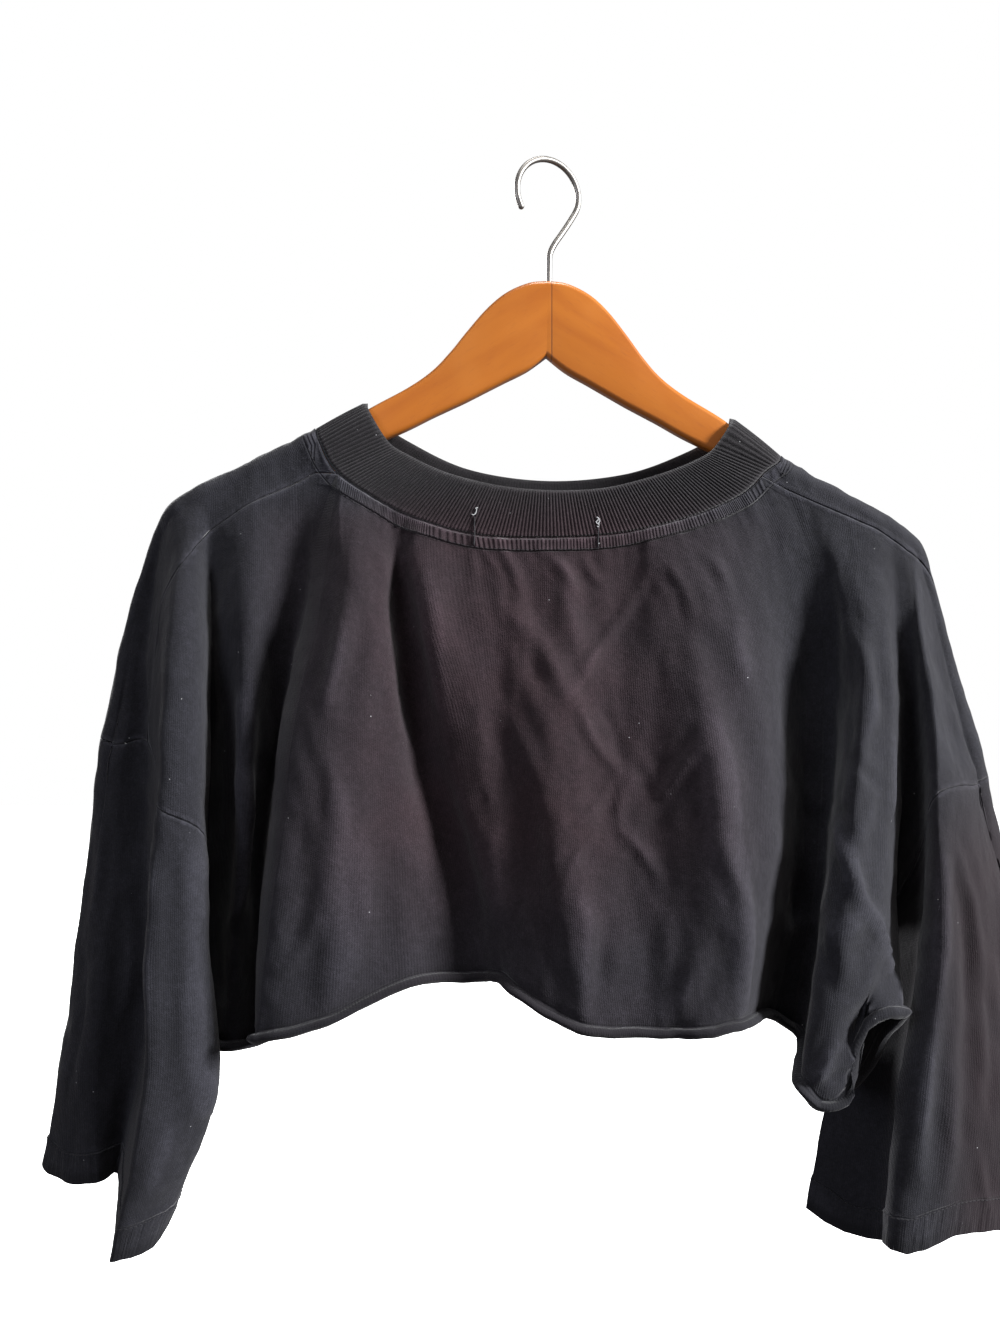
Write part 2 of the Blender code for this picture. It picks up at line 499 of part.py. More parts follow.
def inward(piece, r, c, normal):
    """Direction from an edge point into its own piece, along the face."""
    rows, columns = piece.points.shape[:2]
    total = np.zeros(3)
    for down in (-1, 0):
        for step in (-1, 0):
            row, column = r + down, c + step
            if piece.closed:
                column %= columns
            if 0 <= row < rows - 1 and 0 <= column < piece.kept.shape[1] and piece.kept[row, column]:
                far = piece.points[r + 2 * down + 1, (c + 2 * step + 1) % columns]
                near = piece.points[r + 2 * down + 1, c] + piece.points[r, (c + 2 * step + 1) % columns]
                total += unit(far - piece.points[r, c]) + 0.01 * unit(near - 2 * piece.points[r, c])
    total -= normal * total.dot(normal)
    beside = []
    for down, step in ((-1, 0), (1, 0), (0, -1), (0, 1)):
        row, column = r + down, (c + step) % columns if piece.closed else c + step
        if 0 <= row < rows and 0 <= column < columns and piece.edge[row, column]:
            beside.append(piece.points[row, column])
    if len(beside) == 2:
        run = unit(beside[1] - beside[0])
        total -= run * total.dot(run)
    return unit(total)


def solid(name, vertices, faces, paint, smooth=True):
    mesh = bpy.data.meshes.new(name)
    faces = [tuple(int(n) for n in face) for face in faces]
    mesh.from_pydata([tuple(v * CM) for v in np.asarray(vertices)], [], faces)
    mesh.update()
    mesh.materials.append(paint)
    if smooth:
        mesh.shade_smooth()
        mesh.set_sharp_from_angle(angle=math.radians(50))
    item = bpy.data.objects.new(name, mesh)
    bpy.context.collection.objects.link(item)
    return item


def finish(name, colour, roughness, metallic=0.0):
    paint = bpy.data.materials.new(name)
    paint.use_nodes = True
    shader = paint.node_tree.nodes["Principled BSDF"]
    shader.inputs["Base Color"].default_value = colour
    shader.inputs["Roughness"].default_value = roughness
    shader.inputs["Metallic"].default_value = metallic
    return paint


def neck_column(side, across, seam):
    """Upper rows of a column below the neck seam: from the seam it joins the folds."""
    column = np.array([across])
    end = side.knots(column)[0][0, 3]
    shares = np.linspace(0, 1, UPPER_ROWS)
    if side is FRONT:
        shares = np.linspace(0, 1, FRONT_ROWS) ** FRONT_POWER
    depth = -seam[2] + (end + seam[2]) * shares
    points = side.at(column, depth[None])[0]
    shift = seam - points[0]
    fade = np.clip(1 - (depth - depth[0]) / 6.0, 0, 1) ** 2
    return points + shift * fade[:, None]


def lower_rows(side, across):
    """Body below the armpits: plain rows, then the rolled hem with its rise."""
    depths, _ = side.knots(across)
    seams = np.isin(np.round(across, 6), (LEFT_ARMPIT, RIGHT_ARMPIT))
    arm, hem = depths[:, 3:4], depths[:, 4:5]
    roll = hem - ROLL_HEIGHT
    plain = arm + (roll - arm) * np.linspace(0, 1, LOWER_ROWS)[1:]
    depth = np.concatenate([plain, roll + ROLL_HEIGHT * np.array([0.12, 0.5, 0.88, 1.0])], axis=1)
    rise = np.zeros(depth.shape[1])
    rise[-4:] = np.array([0.7, 1.0, 0.8, 0.0]) * ROLL_RISE
    points = side.at(across, depth)
    points[seams] = (BACK.at(across[seams], depth[seams]) + FRONT.at(across[seams], depth[seams])) / 2
    return points.transpose(1, 0, 2), rise


def panel(side, name, across, upper, strip):
    """One panel: strip and upper rows over its columns, lower rows between the side seams."""
    lower, rise = lower_rows(side, across)
    points = np.concatenate([upper, lower])
    kept = np.ones((len(points) - 1, len(across) - 1), dtype=bool)
    middle = (across[:-1] + across[1:]) / 2
    kept[len(upper) - 1:] &= (middle > LEFT_ARMPIT) & (middle < RIGHT_ARMPIT)
    kept[:strip] &= np.abs(middle) > NECK_HALF_WIDTH
    lift = np.zeros(points.shape[:2])
    lift[len(upper):] = rise[:, None]
    if side is FRONT:
        points, kept, lift = points[:, ::-1], kept[:, ::-1], lift[:, ::-1]
    return Cloth(name, points, kept, lift=lift)


def back_panel():
    """From the slipped shoulder seam and the neck down to the rolled hem."""
    neck = neck_points(BACK_NECK)
    shoulder_l = SHOULDER_L[SHOULDER_L >= LEFT_SEAM_END - 0.01]
    across = np.concatenate([shoulder_l, neck[1:-1, 0], SHOULDER_R])
    neck_start = {round(value, 6): point for value, point in zip(neck[1:-1, 0], neck[1:-1])}
    neck_start[-NECK_HALF_WIDTH] = neck[0]
    neck_start[NECK_HALF_WIDTH] = neck[-1]
    upper = []
    for value in across:
        seam = neck_start.get(round(value, 6))
        if seam is None:
            path, _ = shoulder_path(value)
            start = shoulder_seam(value)
            if value < 0:
                start = max(start, SEAM_END_ROOM)
            upper.append(along(path, np.linspace(start, 0.0, UPPER_ROWS)))
        else:
            upper.append(neck_column(BACK, value, seam))
    return panel(BACK, "back_panel", across, np.array(upper).transpose(1, 0, 2), 0)


def yoke_column(value):
    """Column of the front panel: from the shoulder seam over the ridge to the armhole."""
    path, crest = shoulder_path(value)
    start, end = shoulder_seam(value), lengths(path)[-1]
    if LEFT_SEAM_END - 0.01 < value < 0:
        start = max(start, SEAM_END_ROOM)
    dense = np.linspace(start, end, 200)
    close = 1 + CREST_CLOSE * np.exp(-((dense - crest) / CREST_REACH) ** 2)
    filled = np.concatenate([[0], np.cumsum((close[1:] + close[:-1]) / 2)])
    outer = np.interp(np.linspace(0, filled[-1], STRIP_ROWS + FRONT_ROWS), filled, dense)
    side = crest + ARC
    inner = np.concatenate([np.linspace(start, crest, ARC_ROW, endpoint=False),
                            np.linspace(crest, side, STRIP_ROWS - ARC_ROW, endpoint=False),
                            side + (end - side) * np.linspace(0, 1, FRONT_ROWS) ** FRONT_POWER])
    share = np.clip((abs(value) - NEAR_END) / (FAR_START - NEAR_END), 0, 1)
    rows = inner + (outer - inner) * share * share * (3 - 2 * share)
    if abs(value) == NECK_HALF_WIDTH:
        over = neck_points(LEFT_NECK_END if value < 0 else RIGHT_NECK_END)
        return np.concatenate([over[:-1], neck_column(FRONT, value, over[-1])])
    return along(path, rows)


def front_panel():
    """The front, with the strips that wrap over the hanger to the slipped shoulder seams."""
    neck = neck_points(FRONT_NECK)[1:-1]
    across = np.concatenate([SHOULDER_L, neck[:, 0], SHOULDER_R])
    upper = []
    for value in across:
        if abs(value) < NECK_HALF_WIDTH:
            rows = neck_column(FRONT, value, neck[np.argmin(np.abs(neck[:, 0] - value))])
            upper.append(np.concatenate([np.repeat(rows[:1], STRIP_ROWS, axis=0), rows]))
        else:
            upper.append(yoke_column(value))
    return panel(FRONT, "front_panel", across, np.array(upper).transpose(1, 0, 2), STRIP_ROWS)


def armhole(side):
    """Points round the armhole seam from the armpit, and their places in the sleeve table."""
    columns = SHOULDER_L[::-1] if side < 0 else SHOULDER_R
    armpit = LEFT_ARMPIT if side < 0 else RIGHT_ARMPIT
    columns = columns[side * columns >= side * armpit - 0.01]
    rows = LEFT_SLEEVE if side < 0 else RIGHT_SLEEVE
    knots = [BACK.across, FRONT.across]
    knots = [side * k[side * k >= side * armpit - 0.01] for k in knots]
    knots = [np.sort(k) for k in knots]
    count_back, count_front = len(knots[0]), len(knots[1])
    ends = [shoulder_path(value)[0] for value in columns]
    back = np.array([path[0] for path in ends])
    front = np.array([path[-1] for path in ends])[::-1]
    outer = yoke_column(columns[-1])
    if side > 0:
        behind = along(shoulder_path(columns[-1])[0],
                       np.linspace(0, shoulder_seam(columns[-1]), UPPER_ROWS))
        outer = np.concatenate([behind[:-1], outer])
    back_place = np.interp(side * columns, knots[0], np.arange(count_back))
    front_place = len(rows) - np.interp(side * columns, knots[1], np.arange(count_front))[::-1]
    outer_share = (lengths(outer) / lengths(outer)[-1])[1:-1]
    outer = outer[1:-1]
    outer_place = back_place[-1] + (front_place[0] - back_place[-1]) * outer_share
    points = np.concatenate([back, outer, front[:-1]])
    return points, np.concatenate([back_place, outer_place, front_place[:-1]])


def sleeve(name, side):
    """Tube from the armhole seam down to a turned hem."""
    top, place = armhole(side)
    rows = np.array(LEFT_SLEEVE if side < 0 else RIGHT_SLEEVE)
    knots = through(np.concatenate([rows, rows[:1]]), place).reshape(len(place), 3, 3)
    values = np.concatenate([top[:, None], knots], axis=1)
    depths = -values[:, :, 2]
    turn = depths[:, 3:] - HEM_TURN
    shares = np.linspace(0, 1, SLEEVE_ROWS) ** SLEEVE_POWER
    depth = np.concatenate([depths[:, :1] + (turn - depths[:, :1]) * shares,
                            turn + HEM_TURN * np.array([0.1, 0.55, 1.0])], axis=1)
    points = falling(depths, values, depth).transpose(1, 0, 2)
    wall = np.full(len(points), WALL)
    wall[-3:] = HEM_TURN_WALL
    if side > 0:
        points = points[:, ::-1]
    return Cloth(name, points[:, ::-1], closed=True, wall=wall[:, None])


def rib_collar(paint):
    """Ribbed band that stands on the neck seam; the ribs are raised on its outer face."""
    places = np.linspace(0, len(COLLAR), 12 * len(COLLAR) + 1)
    seam = neck_points(places)
    rim = through(COLLAR, places, closed=True)[:, 3:]
    at = lengths(seam)
    steps = np.linspace(0, at[-1], 2 * RIB_COUNT, endpoint=False)
    low = along(seam, steps)
    high = np.stack([np.interp(steps, at, rim[:, axis]) for axis in range(3)], axis=-1)
    low = low + unit(high - low) * COLLAR_GAP
    run = np.roll(low, -1, axis=0) - np.roll(low, 1, axis=0)
    normal = unit(np.cross(run, high - low))
    rib = (np.arange(2 * RIB_COUNT) % 2)[:, None] * RIB_RISE
    inner_step = 4
    outer = [low + normal * rib, high + normal * rib]
    inner = [(low - normal * COLLAR_WALL)[::inner_step], (high - normal * COLLAR_WALL)[::inner_step]]
    count, inner_count = 2 * RIB_COUNT, 2 * RIB_COUNT // inner_step
    faces = [(c, (c + 1) % count, count + (c + 1) % count, count + c) for c in range(count)]
    base = 2 * count
    for c in range(inner_count):
        near, far = base + c, base + (c + 1) % inner_count
        faces.append((near, near + inner_count, far + inner_count, far))
        ribs = [(inner_step * c + step) % count for step in range(inner_step + 1)]
        faces.append((near, far) + tuple(reversed(ribs)))
        faces.append(tuple(count + rib for rib in ribs) + (far + inner_count, near + inner_count))
    return solid("rib_collar", np.concatenate(outer + inner), faces, paint)


def hanger_half(name, side, paint):
    """Half of the flat hanger: rounded sections along its arm, glued at the centre line."""
    rows = table(HANGER_HALF, HANGER_COLUMNS)
    half, edge = HANGER_THICK / 2, HANGER_EDGE_ROUND
    turns = [math.radians(a) for a in (0, 30, 60, 90)]
    sections = []
    for out, top, bottom in zip(rows["out"], rows["top"], rows["bottom"]):
        loop = []
        for quarter, (y, z) in enumerate(((half - edge, top - edge), (edge - half, top - edge),
                                          (edge - half, bottom + edge), (half - edge, bottom + edge))):
            for turn in turns:
                angle = turn + quarter * math.pi / 2
                loop.append((y + edge * math.cos(angle), z + edge * math.sin(angle)))
        sections.append([(side * max(out, SEAM_GAP / 2), y, z) for y, z in loop])
    tip = np.array(sections[-1])
    centre = tip.mean(axis=0)
    for reach, size in ((0.16, 0.86), (0.26, 0.62)):
        loop = centre + (tip - centre) * size
        loop[:, 0] = tip[:, 0] + side * reach
        sections.append(loop.tolist())
    points = np.array(sections)
    roll = HANGER_ROLL
    x, z = points[..., 0].copy(), points[..., 2].copy()
    points[..., 0] = x * math.cos(roll) + z * math.sin(roll)
    points[..., 2] = z * math.cos(roll) - x * math.sin(roll)
    points[..., 0] -= HANGER_SHIFT
    count, loop_size = points.shape[:2]
    faces = []
    for row in range(count - 1):
        for c in range(loop_size):
            e = (c + 1) % loop_size
            faces.append((row * loop_size + c, row * loop_size + e,
                          (row + 1) * loop_size + e, (row + 1) * loop_size + c))
    faces.append(tuple(reversed(range(loop_size))))
    faces.append(tuple((count - 1) * loop_size + c for c in range(loop_size)))
    if side < 0:
        faces = [tuple(reversed(face)) for face in faces]
    return solid(name, points.reshape(-1, 3), faces, paint)


def hook(paint):
    """Bent wire: stem, swan neck and a round loop whose crown rests on the rail."""
    centre_z = WIRE / 2 - HOOK_RADIUS
    stem = [(0.06, HOOK_FOOT), (0.08, -6.6), (0.12, -5.75), (0.42, -5.1), (0.98, -4.3),
            (1.62, -3.35), (2.04, -2.6)]
    arc = [(HOOK_RADIUS * math.cos(math.radians(a)), centre_z + HOOK_RADIUS * math.sin(math.radians(a)))
           for a in range(0, 211, 15)]
    route = through(stem + arc, np.linspace(0, len(stem) + len(arc) - 1, 43))
    curve = bpy.data.curves.new("hook", "CURVE")
    curve.dimensions = "3D"
    curve.bevel_depth = WIRE / 2 * CM
    curve.bevel_resolution = 2
    curve.use_fill_caps = True
    line = curve.splines.new("POLY")
    line.points.add(len(route) - 1)
    for point, (out, z) in zip(line.points, route):
        place = (out * math.cos(HOOK_TURN), out * math.sin(HOOK_TURN), z)
        point.co = tuple(value * CM for value in place) + (1.0,)
    curve.materials.append(paint)
    item = bpy.data.objects.new("hook", curve)
    bpy.context.collection.objects.link(item)
    return item


def main():
    for item in list(bpy.data.objects):
        bpy.data.objects.remove(item, do_unlink=True)
    jersey = finish("washed_jersey", CLOTH_COLOUR, 0.92)
    ribbing = finish("ribbed_jersey", COLLAR_COLOUR, 0.95)
    wood = finish("varnished_wood", WOOD_COLOUR, 0.35)
    steel = finish("steel_wire", STEEL_COLOUR, 0.3, 1.0)
    pieces = [back_panel(), front_panel(), sleeve("left_sleeve", -1), sleeve("right_sleeve", 1)]
    sew(pieces)
    for piece in pieces:
        piece.solid(jersey)
    rib_collar(ribbing)
    hanger_half("hanger_left", -1, wood)
    hanger_half("hanger_right", 1, wood)
    hook(steel)


main()
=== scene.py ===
"""An oversized jersey crop top that hangs on a flat wooden hanger, seen from its back."""
import math

import bpy
import numpy as np
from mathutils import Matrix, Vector, noise
from mathutils.kdtree import KDTree


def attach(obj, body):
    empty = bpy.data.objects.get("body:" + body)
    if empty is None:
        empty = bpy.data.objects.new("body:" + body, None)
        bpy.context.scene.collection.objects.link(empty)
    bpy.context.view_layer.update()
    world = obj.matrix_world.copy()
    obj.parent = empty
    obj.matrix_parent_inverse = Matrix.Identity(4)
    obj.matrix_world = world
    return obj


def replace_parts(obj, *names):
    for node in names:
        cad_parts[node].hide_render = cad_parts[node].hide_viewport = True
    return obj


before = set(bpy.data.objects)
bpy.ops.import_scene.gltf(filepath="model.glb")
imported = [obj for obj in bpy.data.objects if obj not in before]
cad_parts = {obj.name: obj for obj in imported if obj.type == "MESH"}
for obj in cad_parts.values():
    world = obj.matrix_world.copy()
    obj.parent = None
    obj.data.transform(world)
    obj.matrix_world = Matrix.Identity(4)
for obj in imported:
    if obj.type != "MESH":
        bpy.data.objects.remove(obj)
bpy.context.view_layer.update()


# ---- Hook -----------------------------------------------------------------------------
# A plated steel wire, screwed into the top of the hanger: a short stem, a swan neck and
# a round loop that hangs on the rail.  Every form is worked out in centimetres.
CM = 0.01
WIRE = 0.38
WIRE_SIDES = 20
HOOK_RADIUS = 2.15
HOOK_TURN = math.radians(25.0)
HOOK_FOOT = -7.46


class Value:
    """A shader socket that takes part in plain arithmetic."""

    def __init__(self, paint, socket):
        self.paint, self.socket = paint, socket

    def join(self, operation, *others):
        ends = [other.socket if isinstance(other, Value) else other for other in others]
        node = self.paint.node("Math", {"operation": operation}, *ends)
        return Value(self.paint, node.outputs[0])

    def __add__(self, other):
        return self.join("ADD", self, other)

    def __sub__(self, other):
        return self.join("SUBTRACT", self, other)

    def __rsub__(self, other):
        return self.join("SUBTRACT", other, self)

    def __mul__(self, other):
        return self.join("MULTIPLY", self, other)

    __radd__ = __add__
    __rmul__ = __mul__

    def step(self, low, high):
        """0 below low, 1 above high, smooth between them."""
        ends = (self.socket, low, high, 0.0, 1.0)
        node = self.paint.node("MapRange", {"interpolation_type": "SMOOTHSTEP"}, *ends)
        return Value(self.paint, node.outputs[0])

    def size(self):
        return self.join("ABSOLUTE", self)


class Paint:
    """A material on a Principled shader, with the maps that it is made from."""

    def __init__(self, name, roughness, metallic=0.0, **constants):
        self.material = bpy.data.materials.new(name)
        self.material.use_nodes = True
        self.tree = self.material.node_tree
        self.shader = self.tree.nodes["Principled BSDF"]
        self.shader.inputs["Roughness"].default_value = roughness
        self.shader.inputs["Metallic"].default_value = metallic
        for socket, value in constants.items():
            self.shader.inputs[socket.replace("_", " ")].default_value = value
        self.place = self.node("TexCoord").outputs["Object"]

    def node(self, kind, settings=None, *ends, **named):
        node = self.tree.nodes.new("ShaderNode" + kind)
        for key, value in (settings or {}).items():
            setattr(node, key, value)
        for socket, end in zip(node.inputs, ends):
            self.feed(socket, end)
        for key, end in named.items():
            self.feed(node.inputs[key.replace("_", " ")], end)
        return node

    def feed(self, socket, end):
        """Sets a socket, or links it to what the end comes from."""
        if isinstance(end, Value):
            end = end.socket
        if isinstance(end, bpy.types.NodeSocket):
            self.tree.links.new(end, socket)
        else:
            socket.default_value = end

    def axes(self, place):
        node = self.node("SeparateXYZ", None, place)
        return [Value(self, output) for output in node.outputs]

    def noise(self, scale, detail=2.0, place=None, roughness=0.5, distortion=0.0):
        node = self.node("TexNoise", None, Vector=place or self.place, Scale=scale, Detail=detail,
                         Roughness=roughness, Distortion=distortion)
        return Value(self, node.outputs[0])

    def mix(self, factor, first, second):
        node = self.node("Mix", {"data_type": "RGBA", "blend_type": "MIX"})
        for number, end in ((0, factor), (6, first), (7, second)):
            self.feed(node.inputs[number], end)
        return node.outputs[2]

    def colour(self, socket):
        self.tree.links.new(socket, self.shader.inputs["Base Color"])

    def roughness(self, value):
        self.tree.links.new(value.socket, self.shader.inputs["Roughness"])

    def relief(self, height, distance, strength=1.0):
        bump = self.node("Bump", None, Strength=strength, Distance=distance, Height=height)
        self.tree.links.new(bump.outputs[0], self.shader.inputs["Normal"])


def hermite(share, start, end, leave, reach):
    return ((2 * share**3 - 3 * share**2 + 1) * start + (share**3 - 2 * share**2 + share) * leave
            + (3 * share**2 - 2 * share**3) * end + (share**3 - share**2) * reach)


def through(values, place, closed=False):
    """Smooth curve through evenly spaced values (n, ...) read at fractional places."""
    values = np.asarray(values, dtype=float)
    place = np.asarray(place, dtype=float)
    count = len(values)
    low = np.floor(place).astype(int)
    if not closed:
        low = np.clip(low, 0, count - 2)
        ends = (2 * values[:1] - values[1:2], 2 * values[-1:] - values[-2:-1])
        values = np.concatenate([ends[0], values, ends[1]])
        low = low + 1
        count = count + 2
        place = place + 1
    share = place - low
    share = share.reshape(share.shape + (1,) * (values.ndim - 1))
    before, start, end, after = (values[(low + step) % count] for step in (-1, 0, 1, 2))
    return hermite(share, start, end, (end - before) / 2, (after - start) / 2)


def add_object(name, data):
    item = bpy.data.objects.new(name, data)
    bpy.context.collection.objects.link(item)
    return item


def add_mesh(name, vertices, faces, paint, crease_angle=None):
    """A mesh object at the origin, in metres, from points in centimetres."""
    mesh = bpy.data.meshes.new(name)
    mesh.from_pydata((np.asarray(vertices) * CM).tolist(), [], faces)
    mesh.update()
    mesh.materials.append(paint.material)
    mesh.shade_smooth()
    if crease_angle:
        mesh.set_sharp_from_angle(angle=math.radians(crease_angle))
    item = add_object(name, mesh)
    item.cycles.shadow_terminator_offset = 0.2
    return item


def add_mark(item, name, values):
    """Stores a value for each outer point of a wall and for the inner point behind it."""
    mark = item.data.attributes.new(name, "FLOAT", "POINT")
    mark.data.foreach_set("value", np.concatenate([values, values]).astype(np.float32))


def tube(rings, size):
    """Faces that join rings of points, with closed ends."""
    faces = []
    for ring in range(rings - 1):
        for place in range(size):
            ahead = (place + 1) % size
            faces.append((ring * size + place, ring * size + ahead,
                          (ring + 1) * size + ahead, (ring + 1) * size + place))
    faces.append(tuple(reversed(range(size))))
    faces.append(tuple((rings - 1) * size + place for place in range(size)))
    return faces


def rod(route, radius, sides):
    """Rings of points round a route."""
    ahead = np.gradient(route, axis=0)
    ahead = ahead / np.linalg.norm(ahead, axis=1, keepdims=True)
    side = np.cross(ahead, (-math.sin(HOOK_TURN), math.cos(HOOK_TURN), 0.0))
    side = side / np.linalg.norm(side, axis=1, keepdims=True)
    across = np.cross(ahead, side)
    turns = np.linspace(0, 2 * math.pi, sides, endpoint=False)[:, None]
    return np.array([centre + radius * (np.cos(turns) * a + np.sin(turns) * b)
                     for centre, a, b in zip(route, side, across)])


steel = Paint("steel_wire_plated", 0.4, 1.0)
dull = steel.noise(160.0, 3.0)
rust = steel.noise(420.0, 4.0, roughness=0.7)
plate = steel.mix(dull, (0.20, 0.19, 0.18, 1.0), (0.36, 0.34, 0.31, 1.0))
steel.colour(steel.mix(rust.step(0.60, 0.74) * 0.5, plate, (0.17, 0.105, 0.07, 1.0)))
steel.roughness(0.34 + 0.25 * dull)

hook_centre = WIRE / 2 - HOOK_RADIUS
hook_stem = [(0.06, HOOK_FOOT), (0.08, -6.6), (0.12, -5.75), (0.42, -5.1), (0.98, -4.3),
             (1.62, -3.35), (2.04, -2.6)]
hook_arc = [(HOOK_RADIUS * math.cos(math.radians(turn)),
             hook_centre + HOOK_RADIUS * math.sin(math.radians(turn)))
            for turn in range(0, 211, 15)]
hook_places = np.linspace(0, len(hook_stem + hook_arc) - 1, 150)
hook_line = through(hook_stem + hook_arc, hook_places)
hook_route = np.stack([hook_line[:, 0] * math.cos(HOOK_TURN),
                       hook_line[:, 0] * math.sin(HOOK_TURN), hook_line[:, 1]], axis=1)
hook_rings = rod(hook_route, WIRE / 2, WIRE_SIDES)
hook_end, tip = hook_route[-1], hook_rings[-1]
tip_ahead = hook_end - hook_route[-2]
tip_ahead = tip_ahead / np.linalg.norm(tip_ahead)
rounding = [hook_end + (tip - hook_end) * math.cos(turn) + tip_ahead * WIRE / 2 * math.sin(turn)
            for turn in (0.4, 0.8, 1.2, 1.5)]
hook_rings = np.concatenate([hook_rings, rounding])
wire_hook = add_mesh("wire_hook", hook_rings.reshape(-1, 3), tube(len(hook_rings), WIRE_SIDES),
                     steel, 50)
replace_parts(wire_hook, "hook")
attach(wire_hook, "root")


# ---- Hanger ---------------------------------------------------------------------------
# Two flat beech halves, cut with a soft shoulder curve, rounded along their edges, glued
# end to end in the middle and varnished orange brown.
HANGER_THICK = 1.2
HANGER_EDGE_ROUND = 0.34
HANGER_ROLL = math.radians(1.5)
HANGER_JOINT = 0.20           # where the two halves meet, along X
HANGER_TIP = ((0.08, 0.96), (0.16, 0.87), (0.22, 0.75), (0.26, 0.6))    # reach and size

# Distance out from the joint, and the heights of the top and bottom edge there.
HANGER_HALF = (
    (0.0, -7.5, -12.2),
    (1.2, -7.65, -13.1),
    (2.6, -8.3, -13.85),
    (3.8, -9.35, -14.5),
    (5.0, -10.8, -15.15),
    (6.0, -12.1, -15.65),
    (7.1, -13.3, -16.2),
    (8.6, -14.4, -17.0),
    (11.1, -15.85, -18.2),
    (12.8, -17.2, -19.4),
    (14.6, -18.5, -20.5),
    (18.6, -20.4, -22.1),
    (20.8, -21.45, -22.9),
    (22.0, -22.2, -23.3),
)

wood = Paint("varnished_wood", 0.3, 0.0, Coat_Weight=0.55, Coat_Roughness=0.12)
east, north, height = wood.axes(wood.place)
east = east - HANGER_JOINT * CM
slope = height + 0.62 * east.size()
grain_place = wood.node("CombineXYZ", None, east * 0.35, north * 1.2, slope * 1.6).outputs[0]
rings = wood.noise(34.0, 3.0, grain_place, distortion=0.5)
pores = wood.noise(420.0, 2.0, grain_place)
cloud = wood.noise(30.0, 2.0)
grain = wood.mix(rings.step(0.3, 0.72), (0.50, 0.152, 0.017, 1.0), (0.43, 0.12, 0.013, 1.0))
grain = wood.mix(pores.step(0.56, 0.76) * 0.22, grain, (0.27, 0.066, 0.009, 1.0))
grain = wood.mix(cloud.step(0.4, 0.75) * 0.4, grain, (0.54, 0.178, 0.023, 1.0))
glue = 1.0 - east.size().step(0.0001, 0.0007)
wood.colour(wood.mix(glue * 0.8, grain, (0.20, 0.06, 0.012, 1.0)))
wood.roughness(0.26 + 0.16 * pores + 0.1 * cloud)
wood.relief(rings * 0.3 + pores * 0.3 - glue, 0.00015, 0.5)


def hanger_half(name, side, paint):
    rows = np.array(HANGER_HALF)
    places = np.linspace(0, len(rows) - 1, 90)
    half, edge = HANGER_THICK / 2, HANGER_EDGE_ROUND
    turns = [math.radians(turn) for turn in range(0, 91, 15)]
    sections = []
    for out, top, bottom in through(rows, places):
        loop = []
        corners = ((half - edge, top - edge), (edge - half, top - edge),
                   (edge - half, bottom + edge), (half - edge, bottom + edge))
        for quarter, (y, z) in enumerate(corners):
            for turn in turns:
                angle = turn + quarter * math.pi / 2
                loop.append((side * max(out, 0.0004), y + edge * math.cos(angle),
                             z + edge * math.sin(angle)))
        sections.append(loop)
    end = np.array(sections[-1])
    centre = end.mean(axis=0)
    for reach, size in HANGER_TIP:
        loop = centre + (end - centre) * size
        loop[:, 0] = end[:, 0] + side * reach
        sections.append(loop.tolist())
    points = np.array(sections)
    x, z = points[..., 0].copy(), points[..., 2].copy()
    points[..., 0] = x * math.cos(HANGER_ROLL) + z * math.sin(HANGER_ROLL) + HANGER_JOINT
    points[..., 2] = z * math.cos(HANGER_ROLL) - x * math.sin(HANGER_ROLL)
    faces = tube(*points.shape[:2])
    if side < 0:
        faces = [tuple(reversed(face)) for face in faces]
    item = add_mesh(name, points.reshape(-1, 3), faces, paint, 40)
    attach(item, "root")
    return item


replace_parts(hanger_half("hanger_arm_left", -1, wood), "hanger_left")
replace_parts(hanger_half("hanger_arm_right", 1, wood), "hanger_right")


# ---- Cloth of the body ----------------------------------------------------------------
# Washed black cotton jersey, cut as a wide back and front with dropped shoulders.  Each
# panel is one wall that follows the folds it hangs in; its rows run down the cloth.
WALL = 0.11
SEAM_GAP = 0.03
CREASE_ROOM = 2.0         # more of the gap where the seam is creased,
CORNER_ROOM = 2.0         # and where three pieces or more meet
MEETING = 0.002           # edge points closer than this are the same spot
ROLL_HEIGHT = 0.62
ROLL_RISE = 0.46
SHARP_FOLD = 84           # degrees; softer folds are shaded smooth

# The fold that runs over the hanger's arm and on down the outside of the sleeve.
# "out" is the distance from the neck, "y" and "radius" give the round of the fold.
RIDGE_COLUMNS = ("out", "x", "z", "y", "radius")
LEFT_RIDGE = (
    (0.0, -14.5, -16.8, 0.0, 0.97),
    (6.7, -20.6, -19.6, 0.0, 0.97),
    (9.6, -23.1, -21.0, 0.1, 0.95),
    (11.1, -24.2, -22.1, 0.4, 0.80),
    (13.1, -25.1, -23.9, 0.8, 0.62),
    (16.1, -26.2, -26.7, 1.1, 0.62),
    (19.6, -27.2, -30.0, 1.6, 0.80),
    (23.3, -28.1, -33.6, 2.0, 1.00),
    (25.9, -28.7, -36.1, 2.3, 1.10),
)
RIGHT_RIDGE = (
    (0.0, 14.5, -18.5, 0.0, 0.97),
    (5.2, 19.1, -20.9, 0.0, 0.97),
    (7.7, 21.3, -22.1, 0.0, 0.97),
    (10.2, 23.3, -23.6, 0.3, 0.82),
    (12.7, 24.3, -25.9, 0.8, 0.68),
    (16.3, 25.4, -29.3, 1.3, 0.70),
    (20.8, 26.8, -33.6, 1.9, 0.95),
    (26.0, 28.4, -38.6, 2.3, 1.10),
)
NECK_HALF_WIDTH = 14.5
NECK_DEPTH = 2.0          # half the opening's depth at the centre, along Y

